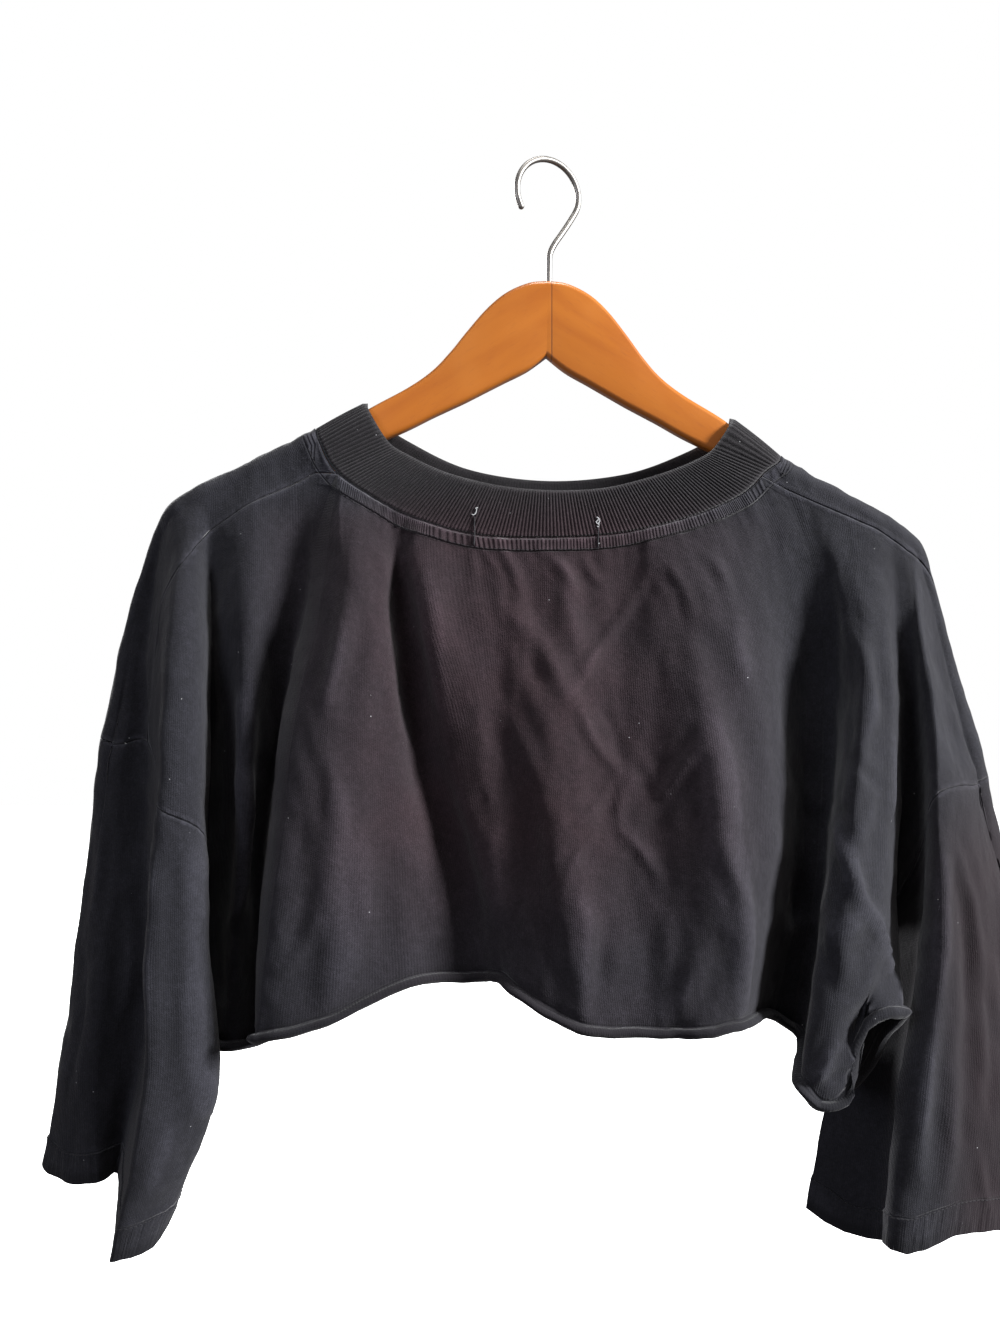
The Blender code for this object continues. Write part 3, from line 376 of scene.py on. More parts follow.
# Folds of the two body panels, from left to right.  "across" is where a fold starts: its
# distance from the centre along the shoulder fold, or across the neck.  Each fold then runs
# down through four heights: yoke, chest, armhole seam (or armpit height) and hem.
FOLD_COLUMNS = ("across", "yoke_x", "yoke_y", "chest_x", "chest_y",
                "arm_x", "arm_y", "arm_z", "hem_x", "hem_y", "hem_z")
YOKE_SHARE = 0.32
CHEST_SHARE = 0.62
BACK_FOLDS = (
    # left sleeve cap: its folds run on into the sleeve
    (-40.4, -27.65, 1.2, -27.65, 1.2, -27.67, 1.2, -36.45, -29.5, 1.9, -49.6),
    (-33.0, -26.4, 0.9, -26.7, 1.0, -26.90, 1.0, -36.40, -28.2, 1.4, -49.4),
    (-26.9, -24.9, 0.5, -25.2, 0.8, -25.30, 1.0, -36.30, -25.4, 1.5, -49.0),
    (-25.6, -23.8, -1.5, -23.9, -2.0, -23.70, -2.2, -39.10, -24.0, -2.2, -48.3),
    (-24.2, -22.5, -2.9, -22.7, -4.1, -22.90, -4.8, -39.90, -23.3, -5.2, -47.7),
    (-22.9, -21.3, -2.5, -20.9, -3.3, -20.60, -3.6, -41.50, -20.1, -3.7, -47.9),
    # body, from the left side seam to the right one
    (-21.9, -20.8, -0.9, -21.1, 0.2, -21.75, 0.9, -45.60, -22.0, 0.9, -54.8),
    (-20.6, -19.7, -1.8, -19.7, -1.3, -20.00, -0.9, -44.90, -20.5, -0.8, -55.1),
    (-18.8, -18.1, -2.5, -18.2, -2.2, -18.90, -1.9, -43.90, -19.3, -1.6, -55.0),
    (-15.9, -15.4, -1.2, -16.5, -0.3, -17.90, 0.1, -44.10, -17.6, 0.2, -55.0),
    (-13.3, -14.0, -2.3, -15.4, -3.7, -16.50, -4.9, -43.40, -17.8, -4.7, -53.7),
    (-11.4, -11.9, -3.4, -12.4, -4.8, -12.90, -5.6, -43.20, -13.5, -5.6, -52.5),
    (-10.0, -10.2, -2.7, -9.5, -3.6, -8.80, -4.0, -43.40, -8.4, -4.1, -50.5),
    (-8.9, -9.2, -1.6, -8.5, -1.9, -6.00, -2.4, -43.80, -4.8, -2.6, -50.6),
    (-7.3, -7.1, -2.8, -5.1, -3.7, -3.70, -3.6, -43.60, -3.0, -3.4, -50.4),
    (-4.2, -3.6, -2.5, -3.0, -3.4, -2.10, -4.2, -43.50, -1.8, -4.8, -51.0),
    (-0.1, -0.1, -2.6, 0.1, -4.2, 0.80, -5.6, -43.40, 1.6, -6.2, -52.6),
    (3.7, 4.0, -2.2, 4.2, -3.4, 5.00, -4.8, -43.60, 6.0, -5.6, -53.0),
    (7.2, 7.8, -2.9, 8.8, -4.4, 9.40, -5.6, -43.50, 8.7, -6.4, -52.8),
    (10.1, 11.8, -2.4, 12.5, -3.4, 12.50, -4.8, -43.60, 10.9, -5.6, -52.5),
    (12.3, 15.2, -1.0, 15.6, -0.6, 15.30, -0.6, -43.80, 13.6, -0.8, -53.3),
    (15.9, 17.3, -1.2, 17.7, -0.6, 17.20, -0.6, -43.80, 15.8, -0.4, -55.0),
    (17.8, 18.0, -2.1, 18.0, -2.7, 16.40, -3.6, -44.20, 14.5, -5.0, -56.1),
    (20.0, 19.0, -2.7, 18.4, -3.9, 17.40, -5.0, -44.00, 15.6, -5.6, -57.3),
    (21.1, 20.0, -2.5, 19.5, -3.3, 18.90, -4.3, -44.50, 17.4, -5.2, -56.6),
    (21.9, 20.8, -2.0, 20.7, -2.5, 20.30, -3.1, -45.00, 18.5, -5.0, -52.7),
    (22.7, 21.7, -0.9, 22.2, 0.2, 22.10, 1.0, -46.20, 20.8, -4.5, -52.2),
    # right sleeve cap
    (23.3, 22.2, -1.0, 22.75, 0.1, 22.80, 0.4, -44.60, 21.9, 1.2, -50.0),
    (23.9, 22.45, -1.2, 23.0, -0.5, 23.30, -0.5, -42.40, 22.4, -0.6, -50.0),
    (24.4, 22.6, -1.3, 23.0, -1.3, 23.10, -1.8, -40.40, 20.9, -3.0, -50.0),
    (25.0, 22.9, -1.3, 23.4, -1.8, 23.50, -2.4, -39.20, 22.4, -4.0, -50.0),
    (29.0, 24.4, 0.0, 24.8, -0.5, 25.10, -1.6, -38.80, 25.6, -2.8, -51.0),
    (34.0, 25.8, 0.6, 26.3, 0.2, 26.50, -0.2, -38.90, 28.2, -1.1, -51.5),
    (40.4, 27.35, 1.2, 27.37, 1.2, 27.38, 1.2, -38.95, 30.2, 1.0, -52.0),
)
FRONT_FOLDS = (
    (-40.4, -27.65, 3.4, -27.65, 3.4, -27.67, 3.4, -36.45, -29.6, 4.2, -49.7),
    (-33.0, -26.3, 2.9, -26.4, 3.6, -26.30, 4.3, -37.00, -28.3, 5.0, -50.0),
    (-26.9, -24.4, 2.4, -24.4, 2.9, -24.30, 3.2, -39.40, -25.4, 3.4, -50.0),
    (-24.2, -22.6, 3.0, -22.5, 4.3, -22.60, 4.9, -42.00, -23.2, 5.2, -50.0),
    (-21.9, -20.9, 1.9, -21.2, 2.2, -21.75, 0.9, -45.60, -22.0, 0.9, -54.8),
    (-18.2, -18.6, 2.6, -18.6, 3.8, -18.80, 4.4, -44.50, -18.9, 4.8, -54.0),
    (-14.6, -15.0, 1.5, -15.2, 1.7, -15.60, 1.9, -44.20, -16.0, 2.1, -53.2),
    (-10.0, -10.8, 2.8, -11.2, 4.6, -11.50, 5.6, -44.00, -11.8, 6.0, -52.0),
    (-5.2, -5.6, 1.9, -6.0, 2.4, -6.20, 2.6, -44.00, -6.4, 2.8, -51.2),
    (0.0, 0.0, 2.8, -0.2, 4.4, -0.40, 5.4, -44.00, -0.6, 6.0, -52.0),
    (5.2, 5.4, 1.9, 5.6, 2.4, 5.80, 2.6, -44.00, 5.6, 2.8, -52.2),
    (10.0, 10.6, 2.8, 11.2, 4.6, 11.40, 5.4, -44.20, 11.0, 5.8, -52.4),
    (14.6, 15.2, 1.5, 15.8, 1.8, 15.80, 2.0, -44.40, 15.4, 1.4, -53.6),
    (17.0, 17.4, 2.1, 17.8, 2.9, 17.60, 3.4, -44.80, 17.7, -1.0, -57.6),
    (19.6, 19.4, 2.4, 19.8, 3.4, 19.60, 3.8, -45.20, 19.2, -2.5, -56.2),
    (21.6, 20.9, 2.1, 21.2, 2.9, 20.90, 2.5, -45.80, 19.9, -3.5, -53.8),
    (22.7, 21.8, 1.9, 22.1, 2.2, 22.10, 1.0, -46.20, 20.8, -4.5, -52.2),
    (25.0, 22.9, 2.6, 23.2, 3.6, 23.60, 4.2, -43.00, 23.4, 5.0, -50.5),
    (29.0, 24.4, 2.2, 24.9, 2.8, 25.20, 3.2, -40.50, 26.4, 3.6, -51.0),
    (34.0, 25.9, 2.6, 26.4, 3.4, 26.60, 4.2, -39.60, 29.0, 5.2, -51.5),
    (40.4, 27.35, 3.4, 27.37, 3.4, 27.38, 3.4, -38.95, 30.1, 4.2, -52.1),
)
LEFT_ARMPIT = -21.9
RIGHT_ARMPIT = 22.7
LEFT_SEAM_END = -26.9     # the shoulder seam meets the left armhole seam in this valley

# Where the shoulder seam lies: it has slipped back over the arm of the hanger.  "fall" is
# its distance below the fold, along the cloth; past the right shoulder it crosses the fold.
SEAM_COLUMNS = ("across", "fall")
SHOULDER_SEAM = (
    (-40.4, 99.0), (-26.9, 12.6), (-25.6, 6.4), (-24.2, 5.4), (-22.9, 4.4), (-21.9, 3.8),
    (-18.8, 3.4), (-14.5, 3.3), (14.5, 2.7), (17.8, 2.3), (21.1, 2.0), (23.9, 2.0),
    (25.0, 1.7), (27.0, 0.6), (30.0, -0.2), (34.0, -0.6), (40.4, -0.8),
)


def table(rows, columns):
    """The rows as a dictionary of arrays, one for each named column."""
    values = np.array(rows, dtype=float)
    return {name: values[:, place] for place, name in enumerate(columns)}


def falling(depths, values, at):
    """Smooth curves through values (column, knot, 3) at growing depths, read at (column, row)."""
    step = np.diff(depths, axis=1)
    slope = np.diff(values, axis=1) / step[..., None]
    inner = slope[:, :-1] * step[:, 1:, None] + slope[:, 1:] * step[:, :-1, None]
    inner = inner / (step[:, 1:] + step[:, :-1])[..., None]
    tangent = np.concatenate([slope[:, :1], inner, slope[:, -1:]], axis=1)
    knot = (at[:, :, None] >= depths[:, None, 1:-1]).sum(axis=2)
    column = np.arange(len(depths))[:, None]
    span = step[column, knot][..., None]
    share = (at - depths[column, knot])[..., None] / span
    return hermite(share, values[column, knot], values[column, knot + 1],
                   tangent[column, knot] * span, tangent[column, knot + 1] * span)


def unit(vectors):
    return vectors / np.maximum(np.linalg.norm(vectors, axis=-1, keepdims=True), 1e-12)


def lengths(path):
    """Distance along a path at each of its points."""
    return np.concatenate([[0], np.cumsum(np.linalg.norm(np.diff(path, axis=0), axis=1))])


def along(path, distance):
    """Points of a path at the given distances along it."""
    at = lengths(path)
    return np.stack([np.interp(distance, at, path[:, axis]) for axis in range(3)], axis=-1)


def ridge(across):
    """Centre and radius of the shoulder fold, and its outward direction, at each column."""
    across = np.asarray(across, dtype=float)
    centre = np.zeros(across.shape + (3,))
    radius = np.zeros(across.shape)
    outward = np.zeros(across.shape + (3,))
    outward[..., 2] = 1.0
    for rows, side in ((LEFT_RIDGE, -1), (RIGHT_RIDGE, 1)):
        here = side * across >= NECK_HALF_WIDTH
        line = table(rows, RIDGE_COLUMNS)
        out = np.clip(side * across[here] - NECK_HALF_WIDTH, 0, line["out"][-1])
        place = np.interp(out, line["out"], np.arange(len(rows)))
        values = through(rows, place)
        ahead = through(rows, np.minimum(place + 0.05, len(rows) - 1))
        behind = through(rows, np.maximum(place - 0.05, 0))
        run = unit((ahead - behind)[..., 1:3])
        normal = np.stack([-side * run[..., 1], 0 * out, side * run[..., 0]], axis=-1)
        radius[here] = values[..., 4]
        outward[here] = normal
        top = np.stack([values[..., 1], values[..., 3], values[..., 2]], axis=-1)
        centre[here] = top - normal * values[..., 4:5]
    neck = np.abs(across) < NECK_HALF_WIDTH
    if neck.any():
        ends, end_radius, _ = ridge(np.array([-NECK_HALF_WIDTH, NECK_HALF_WIDTH]))
        share = (across[neck] / NECK_HALF_WIDTH + 1) / 2
        level = ends[0, 2] * (1 - share) + ends[1, 2] * share
        centre[neck] = np.stack([across[neck], 0 * share, level], axis=-1)
        opening = np.sqrt(np.clip(1 - (across[neck] / NECK_HALF_WIDTH) ** 2, 0, 1))
        radius[neck] = end_radius[0] + (NECK_DEPTH - end_radius[0]) * opening
    return centre, radius, outward


class Side:
    """One side of the body, back (-1) or front (+1), as folds that hang from the ridge."""

    def __init__(self, folds, sign):
        self.rows = np.array(folds, dtype=float)
        self.across = table(folds, FOLD_COLUMNS)["across"]
        self.sign = sign
        left, right = (int(np.argmin(np.abs(self.across - pit)))
                       for pit in (LEFT_ARMPIT, RIGHT_ARMPIT))
        self.parts = ((0, left), (left, right), (right, len(folds) - 1))

    def knots(self, across):
        """Depths below the origin and places of the five knots of each column."""
        place = np.interp(across, self.across, np.arange(len(self.rows)))
        row = np.zeros(place.shape + (len(FOLD_COLUMNS),))
        for first, last in self.parts:
            here = (place >= first) & (place <= last)
            row[here] = through(self.rows[first:last + 1], place[here] - first)
        top, radius, _ = ridge(across)
        top[:, 1] += self.sign * radius
        arm, hem = row[:, 5:8], row[:, 8:11]
        yoke_z, chest_z = (top[:, 2] + share * (arm[:, 2] - top[:, 2])
                           for share in (YOKE_SHARE, CHEST_SHARE))
        yoke = np.stack([row[:, 1], row[:, 2], yoke_z], axis=-1)
        chest = np.stack([row[:, 3], row[:, 4], chest_z], axis=-1)
        values = np.stack([top, yoke, chest, arm, hem], axis=1)
        return -values[:, :, 2], values

    def at(self, across, depth):
        """Outer face at the depths (column, row) below the origin."""
        depths, values = self.knots(across)
        return falling(depths, values, depth)


BACK = Side(BACK_FOLDS, -1)
FRONT = Side(FRONT_FOLDS, 1)


DOWN_STEPS, OVER_STEPS = 160, 33
COLUMN_STEP = 0.25
SAME_COLUMN = 0.01        # columns closer than this are the same one


def down_path(side, across):
    """Dense path of one column from the ridge to the armhole seam or armpit height."""
    column = np.array([across])
    depths, _ = side.knots(column)
    return side.at(column, np.linspace(depths[0, 0], depths[0, 3], DOWN_STEPS)[None])[0]


def over_ridge(across):
    """Points over the fold, from the back side's top to the front side's top."""
    centre, radius, outward = ridge(np.array([across]))
    turn = np.linspace(-math.pi / 2, math.pi / 2, OVER_STEPS)[:, None]
    ahead = np.array([0.0, 1.0, 0.0])
    return centre + radius * (np.sin(turn) * ahead + np.cos(turn) * outward)


def shoulder_path(across):
    """Back armhole seam, over the ridge, front armhole seam; and the ridge's distance."""
    back = down_path(BACK, across)[::-1]
    over = over_ridge(across)
    path = np.concatenate([back[:-1], over, down_path(FRONT, across)[1:]])
    return path, lengths(back)[-1] + lengths(over)[OVER_STEPS // 2]


def shoulder_seam(across):
    """Distance of the shoulder seam along the shoulder path, from its back end."""
    seam = table(SHOULDER_SEAM, SEAM_COLUMNS)
    _, crest = shoulder_path(across)
    return max(crest - float(np.interp(across, seam["across"], seam["fall"])), 0.0)


def spread(knots):
    """Even columns that meet every knot."""
    parts = [np.linspace(a, b, max(2, round((b - a) / COLUMN_STEP)), endpoint=False)
             for a, b in zip(knots[:-1], knots[1:])]
    return np.concatenate(parts + [knots[-1:]])


# The neckband's two edges, round from the left end of the neck over the back: x, y and z
# of the seam, then of the rim.
COLLAR = (
    (-14.5, 0.0, -16.7, -11.3, 0.0, -15.0),       # over the left arm of the hanger
    (-14.25, -0.95, -17.5, -11.05, -1.0, -15.75),
    (-13.4, -1.2, -19.2, -9.9, -1.15, -17.6),
    (-11.9, -1.5, -20.5, -8.6, -1.4, -18.5),
    (-8.7, -1.8, -22.3, -6.3, -1.7, -19.6),
    (-4.6, -2.0, -23.5, -3.3, -1.9, -20.4),
    (-0.1, -2.05, -23.7, -0.1, -2.0, -20.75),
    (4.4, -2.0, -23.4, 3.3, -1.9, -20.6),
    (8.6, -1.8, -22.4, 6.5, -1.7, -19.8),
    (11.8, -1.5, -21.0, 8.8, -1.4, -18.9),
    (13.4, -1.2, -19.5, 10.1, -1.15, -18.1),
    (14.25, -0.95, -18.9, 11.15, -1.0, -16.6),
    (14.5, 0.0, -18.4, 11.4, 0.0, -15.95),          # over the right arm
    (14.25, 0.95, -18.9, 11.15, 1.0, -16.55),
    (12.0, 1.4, -20.6, 8.8, 1.35, -17.9),
    (6.5, 1.9, -22.4, 5.0, 1.8, -19.2),
    (0.0, 2.1, -22.9, 0.0, 2.0, -19.6),
    (-6.5, 1.9, -22.2, -5.0, 1.8, -18.9),
    (-12.0, 1.4, -19.8, -8.8, 1.35, -17.2),
    (-14.25, 0.95, -17.5, -11.05, 1.0, -15.7),
)


def neck_points(places):
    """Neck seam points at fractional rows of the collar table."""
    return through(COLLAR, places, closed=True)[:, :3]


# Columns of the panels past the neck, which meet the folds above.
SHOULDER_L = spread((-40.4, -33.0, -26.9, -25.6, -24.2, -22.9, -22.4, -21.9,
                     -21.25, -20.6, -18.8, -15.9, -14.5))
SHOULDER_R = spread((14.5, 15.9, 17.8, 20.0, 21.1, 21.9, 22.3, 22.7,
                     23.3, 23.9, 24.4, 25.0, 29.0, 34.0, 40.4))

# Places in the collar table: where the shoulder seams meet the neck seam on the back side,
# and where the neck seam crosses the shoulder folds and reaches the front.
LEFT_MEETS, RIGHT_MEETS = 2.35, 9.75
LEFT_FOLD, RIGHT_FOLD, RIGHT_FRONT, LEFT_FRONT = 0.0, 12.0, 13.0, 19.0
BACK_NECK = np.linspace(LEFT_MEETS, RIGHT_MEETS, 150)
FRONT_NECK = np.linspace(LEFT_FRONT, RIGHT_FRONT, 96)

# Rows down a panel: close together below the neck seam, then even.
NECK_ROWS = np.array([0.0, 0.1, 0.22, 0.36, 0.5, 0.62, 0.7, 0.76, 0.82, 0.9, 1.02, 1.18,
                      1.38, 1.62]) / 25.0
UPPER_SHARES, FRONT_SHARES = (
    np.append(NECK_ROWS[:-1], np.linspace(NECK_ROWS[-1], 1, count - len(NECK_ROWS) + 1))
    for count in (100, 78))
LOWER_ROWS = 44
HEM_SHARES = np.array([0.1, 0.25, 0.4, 0.55, 0.7, 0.83, 0.93, 1.0])
NECK_REACH = 6.0          # how far below the neck seam the cloth has joined its folds

# Rows of the strip that runs from the slipped shoulder seam over the fold to the front.
STRIP_ROWS, ARC_ROW = 40, 24
ARC = 1.5
LEFT_NECK_END, RIGHT_NECK_END = (
    np.append(np.linspace(seam, fold, ARC_ROW + 1),
              np.linspace(fold, front, STRIP_ROWS - ARC_ROW + 1)[1:])
    for seam, fold, front in ((LEFT_MEETS, LEFT_FOLD, LEFT_FRONT - len(COLLAR)),
                              (RIGHT_MEETS, RIGHT_FOLD, RIGHT_FRONT)))
NEAR_END, FAR_START = 21.5, 25.0       # past here the rows gather at the fold's crest instead,
CREST_CLOSE, CREST_REACH = 3.0, 1.3    # this much closer, and this far down from it
YOKE_STEPS = 400
SEAM_END_ROOM = 0.25


class Cloth:
    """Grid of outer points; kept marks the cells that are cloth, lift raises the outer face."""

    def __init__(self, name, points, kept=None, closed=False, wall=WALL, lift=0.0):
        self.name, self.points, self.closed = name, points, closed
        rows, columns = points.shape[:2]
        cells = columns if closed else columns - 1
        self.kept = np.ones((rows - 1, cells), dtype=bool) if kept is None else kept
        self.wall = np.broadcast_to(np.asarray(wall, dtype=float), (rows, columns)).copy()
        self.lift = np.broadcast_to(np.asarray(lift, dtype=float), (rows, columns)).copy()
        right = np.roll(points, -1, axis=1)[:, :cells]
        left = points[:, :cells]
        cell = np.cross(right[:-1] - left[1:], left[:-1] - right[1:]) * self.kept[..., None]
        self.normal = np.zeros_like(points)
        share = np.zeros((rows, columns), dtype=int)
        for down in (0, 1):
            for step in (0, 1):
                place = (np.arange(cells) + step) % columns
                self.normal[down:rows - 1 + down, place] += cell
                share[down:rows - 1 + down, place] += self.kept
        self.used = share > 0
        self.edge = self.used & (share < 4)

    def outer(self):
        return self.points + unit(self.normal) * self.lift[..., None]

    def runs(self):
        """Lengths along the cloth: across it by column, and down each column by row."""
        outer = self.outer()
        around = np.concatenate([outer, outer[:, :1]], axis=1) if self.closed else outer
        step = np.linalg.norm(np.diff(around, axis=1), axis=2)
        across = np.concatenate([[0.0], np.cumsum(np.median(step, axis=0))])
        fall = np.linalg.norm(np.diff(outer, axis=0), axis=2)
        return across, np.concatenate([np.zeros((1, outer.shape[1])), np.cumsum(fall, axis=0)])

    def solid(self, paint, **marks):
        """The wall as a mesh object: outer face, inner face and strips along free edges."""
        rows, columns = self.points.shape[:2]
        inner = self.points - unit(self.normal) * self.wall[..., None]
        number = np.full((rows, columns), -1)
        number[self.used] = np.arange(self.used.sum())
        count = int(self.used.sum())
        r, c = np.nonzero(self.kept)
        e = (c + 1) % columns
        corners = np.stack([number[r, c], number[r + 1, c], number[r + 1, e], number[r, e]], axis=1)
        across, fall = self.runs()
        u = np.stack([across[c], across[c], across[c + 1], across[c + 1]], axis=1)
        v = np.stack([fall[r, c], fall[r + 1, c], fall[r + 1, e], fall[r, e]], axis=1)
        padded = np.pad(self.kept, 1)
        if self.closed:
            padded[:, 0], padded[:, -1] = padded[:, -2], padded[:, 1]
        faces, us, vs = [corners, corners[:, ::-1] + count], [u, u[:, ::-1]], [v, v[:, ::-1]]
        beside = (padded[r + 1, c], padded[r + 2, c + 1], padded[r + 1, c + 2], padded[r, c + 1])
        for place, neighbour in enumerate(beside):
            bare = ~neighbour
            start, end = corners[bare, place], corners[bare, (place + 1) % 4]
            faces.append(np.stack([end, start, start + count, end + count], axis=1))
            for values, kept in ((u, us), (v, vs)):
                s, t = values[bare, place], values[bare, (place + 1) % 4]
                kept.append(np.stack([t, s, s, t], axis=1))
        faces = np.concatenate(faces)
        points = np.concatenate([self.outer()[self.used], inner[self.used]])
        item = add_mesh(self.name, points, faces.tolist(), paint, SHARP_FOLD)
        layer = item.data.uv_layers.new(name="cloth_cm")
        flat = np.stack([np.concatenate(us).ravel(), np.concatenate(vs).ravel()], axis=1)
        layer.data.foreach_set("uv", flat.astype(np.float32).ravel())
        for name, values in marks.items():
            add_mark(item, name, values[self.used])
        return item


def tree_of(points):
    """A search tree that finds the nearest of the points."""
    tree = KDTree(len(points))
    for number, point in enumerate(points):
        tree.insert(point, number)
    tree.balance()
    return tree


def sew(pieces):
    """Gives meeting edges one normal, and draws each back by half the seam gap."""
    spots = [(piece, r, c) for piece in pieces for r, c in zip(*np.nonzero(piece.edge))]
    tree = tree_of([piece.points[r, c] for piece, r, c in spots])
    mends = []
    for piece, r, c in spots:
        met = [spots[found[1]] for found in tree.find_range(piece.points[r, c], MEETING)]
        count = len({other[0].name for other in met})
        if count > 1:
            total = unit(sum(unit(other[0].normal[other[1], other[2]]) for other in met))
            mends.append((piece, r, c, total, inward(piece, r, c, total), count))
    for piece, r, c, total, move, count in mends:
        piece.normal[r, c] = total
    for piece, r, c, total, move, count in mends:
        near = [unit(piece.normal[r, k % piece.points.shape[1]]).dot(total) for k in (c - 1, c + 1)]
        room = 1 + CREASE_ROOM * (1 - min(near)) + CORNER_ROOM * (count - 2)
        piece.points[r, c] += move * SEAM_GAP / 2 * room


def inward(piece, r, c, normal):
    """Direction from an edge point into its own piece, along the face."""
    rows, columns = piece.points.shape[:2]
    here, total = piece.points[r, c], np.zeros(3)
    for down in (-1, 0):
        for step in (-1, 0):
            row, column = r + down, c + step
            if piece.closed:
                column %= columns
            inside = 0 <= row < rows - 1 and 0 <= column < piece.kept.shape[1]
            if inside and piece.kept[row, column]:
                below, aside = r + 2 * down + 1, (c + 2 * step + 1) % columns
                far = piece.points[below, aside]
                near = piece.points[below, c] + piece.points[r, aside]
                total += unit(far - here) + 0.01 * unit(near - 2 * here)
    total -= normal * total.dot(normal)
    beside = []
    for down, step in ((-1, 0), (1, 0), (0, -1), (0, 1)):
        row, column = r + down, (c + step) % columns if piece.closed else c + step
        if 0 <= row < rows and 0 <= column < columns and piece.edge[row, column]:
            beside.append(piece.points[row, column])
    if len(beside) == 2:
        run = unit(beside[1] - beside[0])
        total -= run * total.dot(run)
    return unit(total)


def neck_column(side, across, seam):
    """Upper rows of a column below the neck seam: from the seam it joins the folds."""
    column = np.array([across])
    end = side.knots(column)[0][0, 3]
    shares = FRONT_SHARES if side is FRONT else UPPER_SHARES
    depth = -seam[2] + (end + seam[2]) * shares
    points = side.at(column, depth[None])[0]
    shift = seam - points[0]
    fade = np.clip(1 - (depth - depth[0]) / NECK_REACH, 0, 1) ** 2
    return points + shift * fade[:, None]


def lower_rows(side, across):
    """Body below the armpits: plain rows, then the rolled hem with its rise."""
    depths, _ = side.knots(across)
    seams = np.isin(np.round(across, 6), (LEFT_ARMPIT, RIGHT_ARMPIT))
    arm, hem = depths[:, 3:4], depths[:, 4:5]
    roll = hem - ROLL_HEIGHT
    plain = arm + (roll - arm) * np.linspace(0, 1, LOWER_ROWS)[1:]
    depth = np.concatenate([plain, roll + ROLL_HEIGHT * HEM_SHARES], axis=1)
    rise = np.zeros(depth.shape[1])
    rise[-len(HEM_SHARES):] = np.sin(np.pi * HEM_SHARES) ** 0.7 * ROLL_RISE
    points = side.at(across, depth)
    points[seams] = sum(half.at(across[seams], depth[seams]) for half in (BACK, FRONT)) / 2
    return points.transpose(1, 0, 2), rise


def panel(side, name, across, upper, strip):
    """One panel: strip and upper rows over its columns, lower rows between the side seams."""
    lower, rise = lower_rows(side, across)
    points = np.concatenate([upper, lower])
    kept = np.ones((len(points) - 1, len(across) - 1), dtype=bool)
    middle = (across[:-1] + across[1:]) / 2
    kept[len(upper) - 1:] &= (middle > LEFT_ARMPIT) & (middle < RIGHT_ARMPIT)
    kept[:strip] &= np.abs(middle) > NECK_HALF_WIDTH
    lift = np.zeros(points.shape[:2])
    lift[len(upper):] = rise[:, None]
    if side is FRONT:
        points, kept, lift = points[:, ::-1], kept[:, ::-1], lift[:, ::-1]
    return Cloth(name, points, kept, lift=lift)


def back_panel():
    """From the slipped shoulder seam and the neck down to the rolled hem."""
    neck = neck_points(BACK_NECK)
    shoulder_l = SHOULDER_L[SHOULDER_L >= LEFT_SEAM_END - SAME_COLUMN]
    across = np.concatenate([shoulder_l, neck[1:-1, 0], SHOULDER_R])
    neck_start = {round(value, 6): point for value, point in zip(neck[1:-1, 0], neck[1:-1])}
    neck_start[-NECK_HALF_WIDTH] = neck[0]
    neck_start[NECK_HALF_WIDTH] = neck[-1]
    upper = []
    for value in across:
        seam = neck_start.get(round(value, 6))
        if seam is None:
            path, _ = shoulder_path(value)
            start = shoulder_seam(value)
            if value < 0:
                start = max(start, SEAM_END_ROOM)
            upper.append(along(path, start * (1 - UPPER_SHARES)))
        else:
            upper.append(neck_column(BACK, value, seam))
    return panel(BACK, "jersey_back", across, np.array(upper).transpose(1, 0, 2), 0)


def yoke_column(value):
    """Column of the front panel: from the shoulder seam over the ridge to the armhole."""
    path, crest = shoulder_path(value)
    start, end = shoulder_seam(value), lengths(path)[-1]
    if LEFT_SEAM_END - SAME_COLUMN < value < 0:
        start = max(start, SEAM_END_ROOM)
    dense = np.linspace(start, end, YOKE_STEPS)
    close = 1 + CREST_CLOSE * np.exp(-((dense - crest) / CREST_REACH) ** 2)
    filled = np.concatenate([[0], np.cumsum((close[1:] + close[:-1]) / 2)])
    outer = np.interp(np.linspace(0, filled[-1], STRIP_ROWS + len(FRONT_SHARES)), filled, dense)
    side = crest + ARC
    inner = np.concatenate([np.linspace(start, crest, ARC_ROW, endpoint=False),
                            np.linspace(crest, side, STRIP_ROWS - ARC_ROW, endpoint=False),
                            side + (end - side) * FRONT_SHARES])
    share = np.clip((abs(value) - NEAR_END) / (FAR_START - NEAR_END), 0, 1)
    rows = inner + (outer - inner) * share * share * (3 - 2 * share)
    if abs(value) == NECK_HALF_WIDTH:
        over = neck_points(LEFT_NECK_END if value < 0 else RIGHT_NECK_END)
        return np.concatenate([over[:-1], neck_column(FRONT, value, over[-1])])
    return along(path, rows)


def front_panel():
    """The front, with the strips that wrap over the hanger to the slipped shoulder seams."""
    neck = neck_points(FRONT_NECK)[1:-1]
    across = np.concatenate([SHOULDER_L, neck[:, 0], SHOULDER_R])
    upper = []
    for value in across:
        if abs(value) < NECK_HALF_WIDTH:
            rows = neck_column(FRONT, value, neck[np.argmin(np.abs(neck[:, 0] - value))])
            upper.append(np.concatenate([np.repeat(rows[:1], STRIP_ROWS, axis=0), rows]))
        else:
            upper.append(yoke_column(value))
    return panel(FRONT, "jersey_front", across, np.array(upper).transpose(1, 0, 2), STRIP_ROWS)


# ---- Sleeves --------------------------------------------------------------------------
# A wide jersey tube each, sewn to the armhole, with a hem turned up once and stitched.
HEM_TURN = 2.0
HEM_TURN_WALL = 0.2
SLEEVE_ROWS = 84
SLEEVE_POWER = 1.15
CUFF_SHARES = np.array([0.06, 0.14, 0.26, 0.4, 0.55, 0.7, 0.85, 0.94, 1.0])

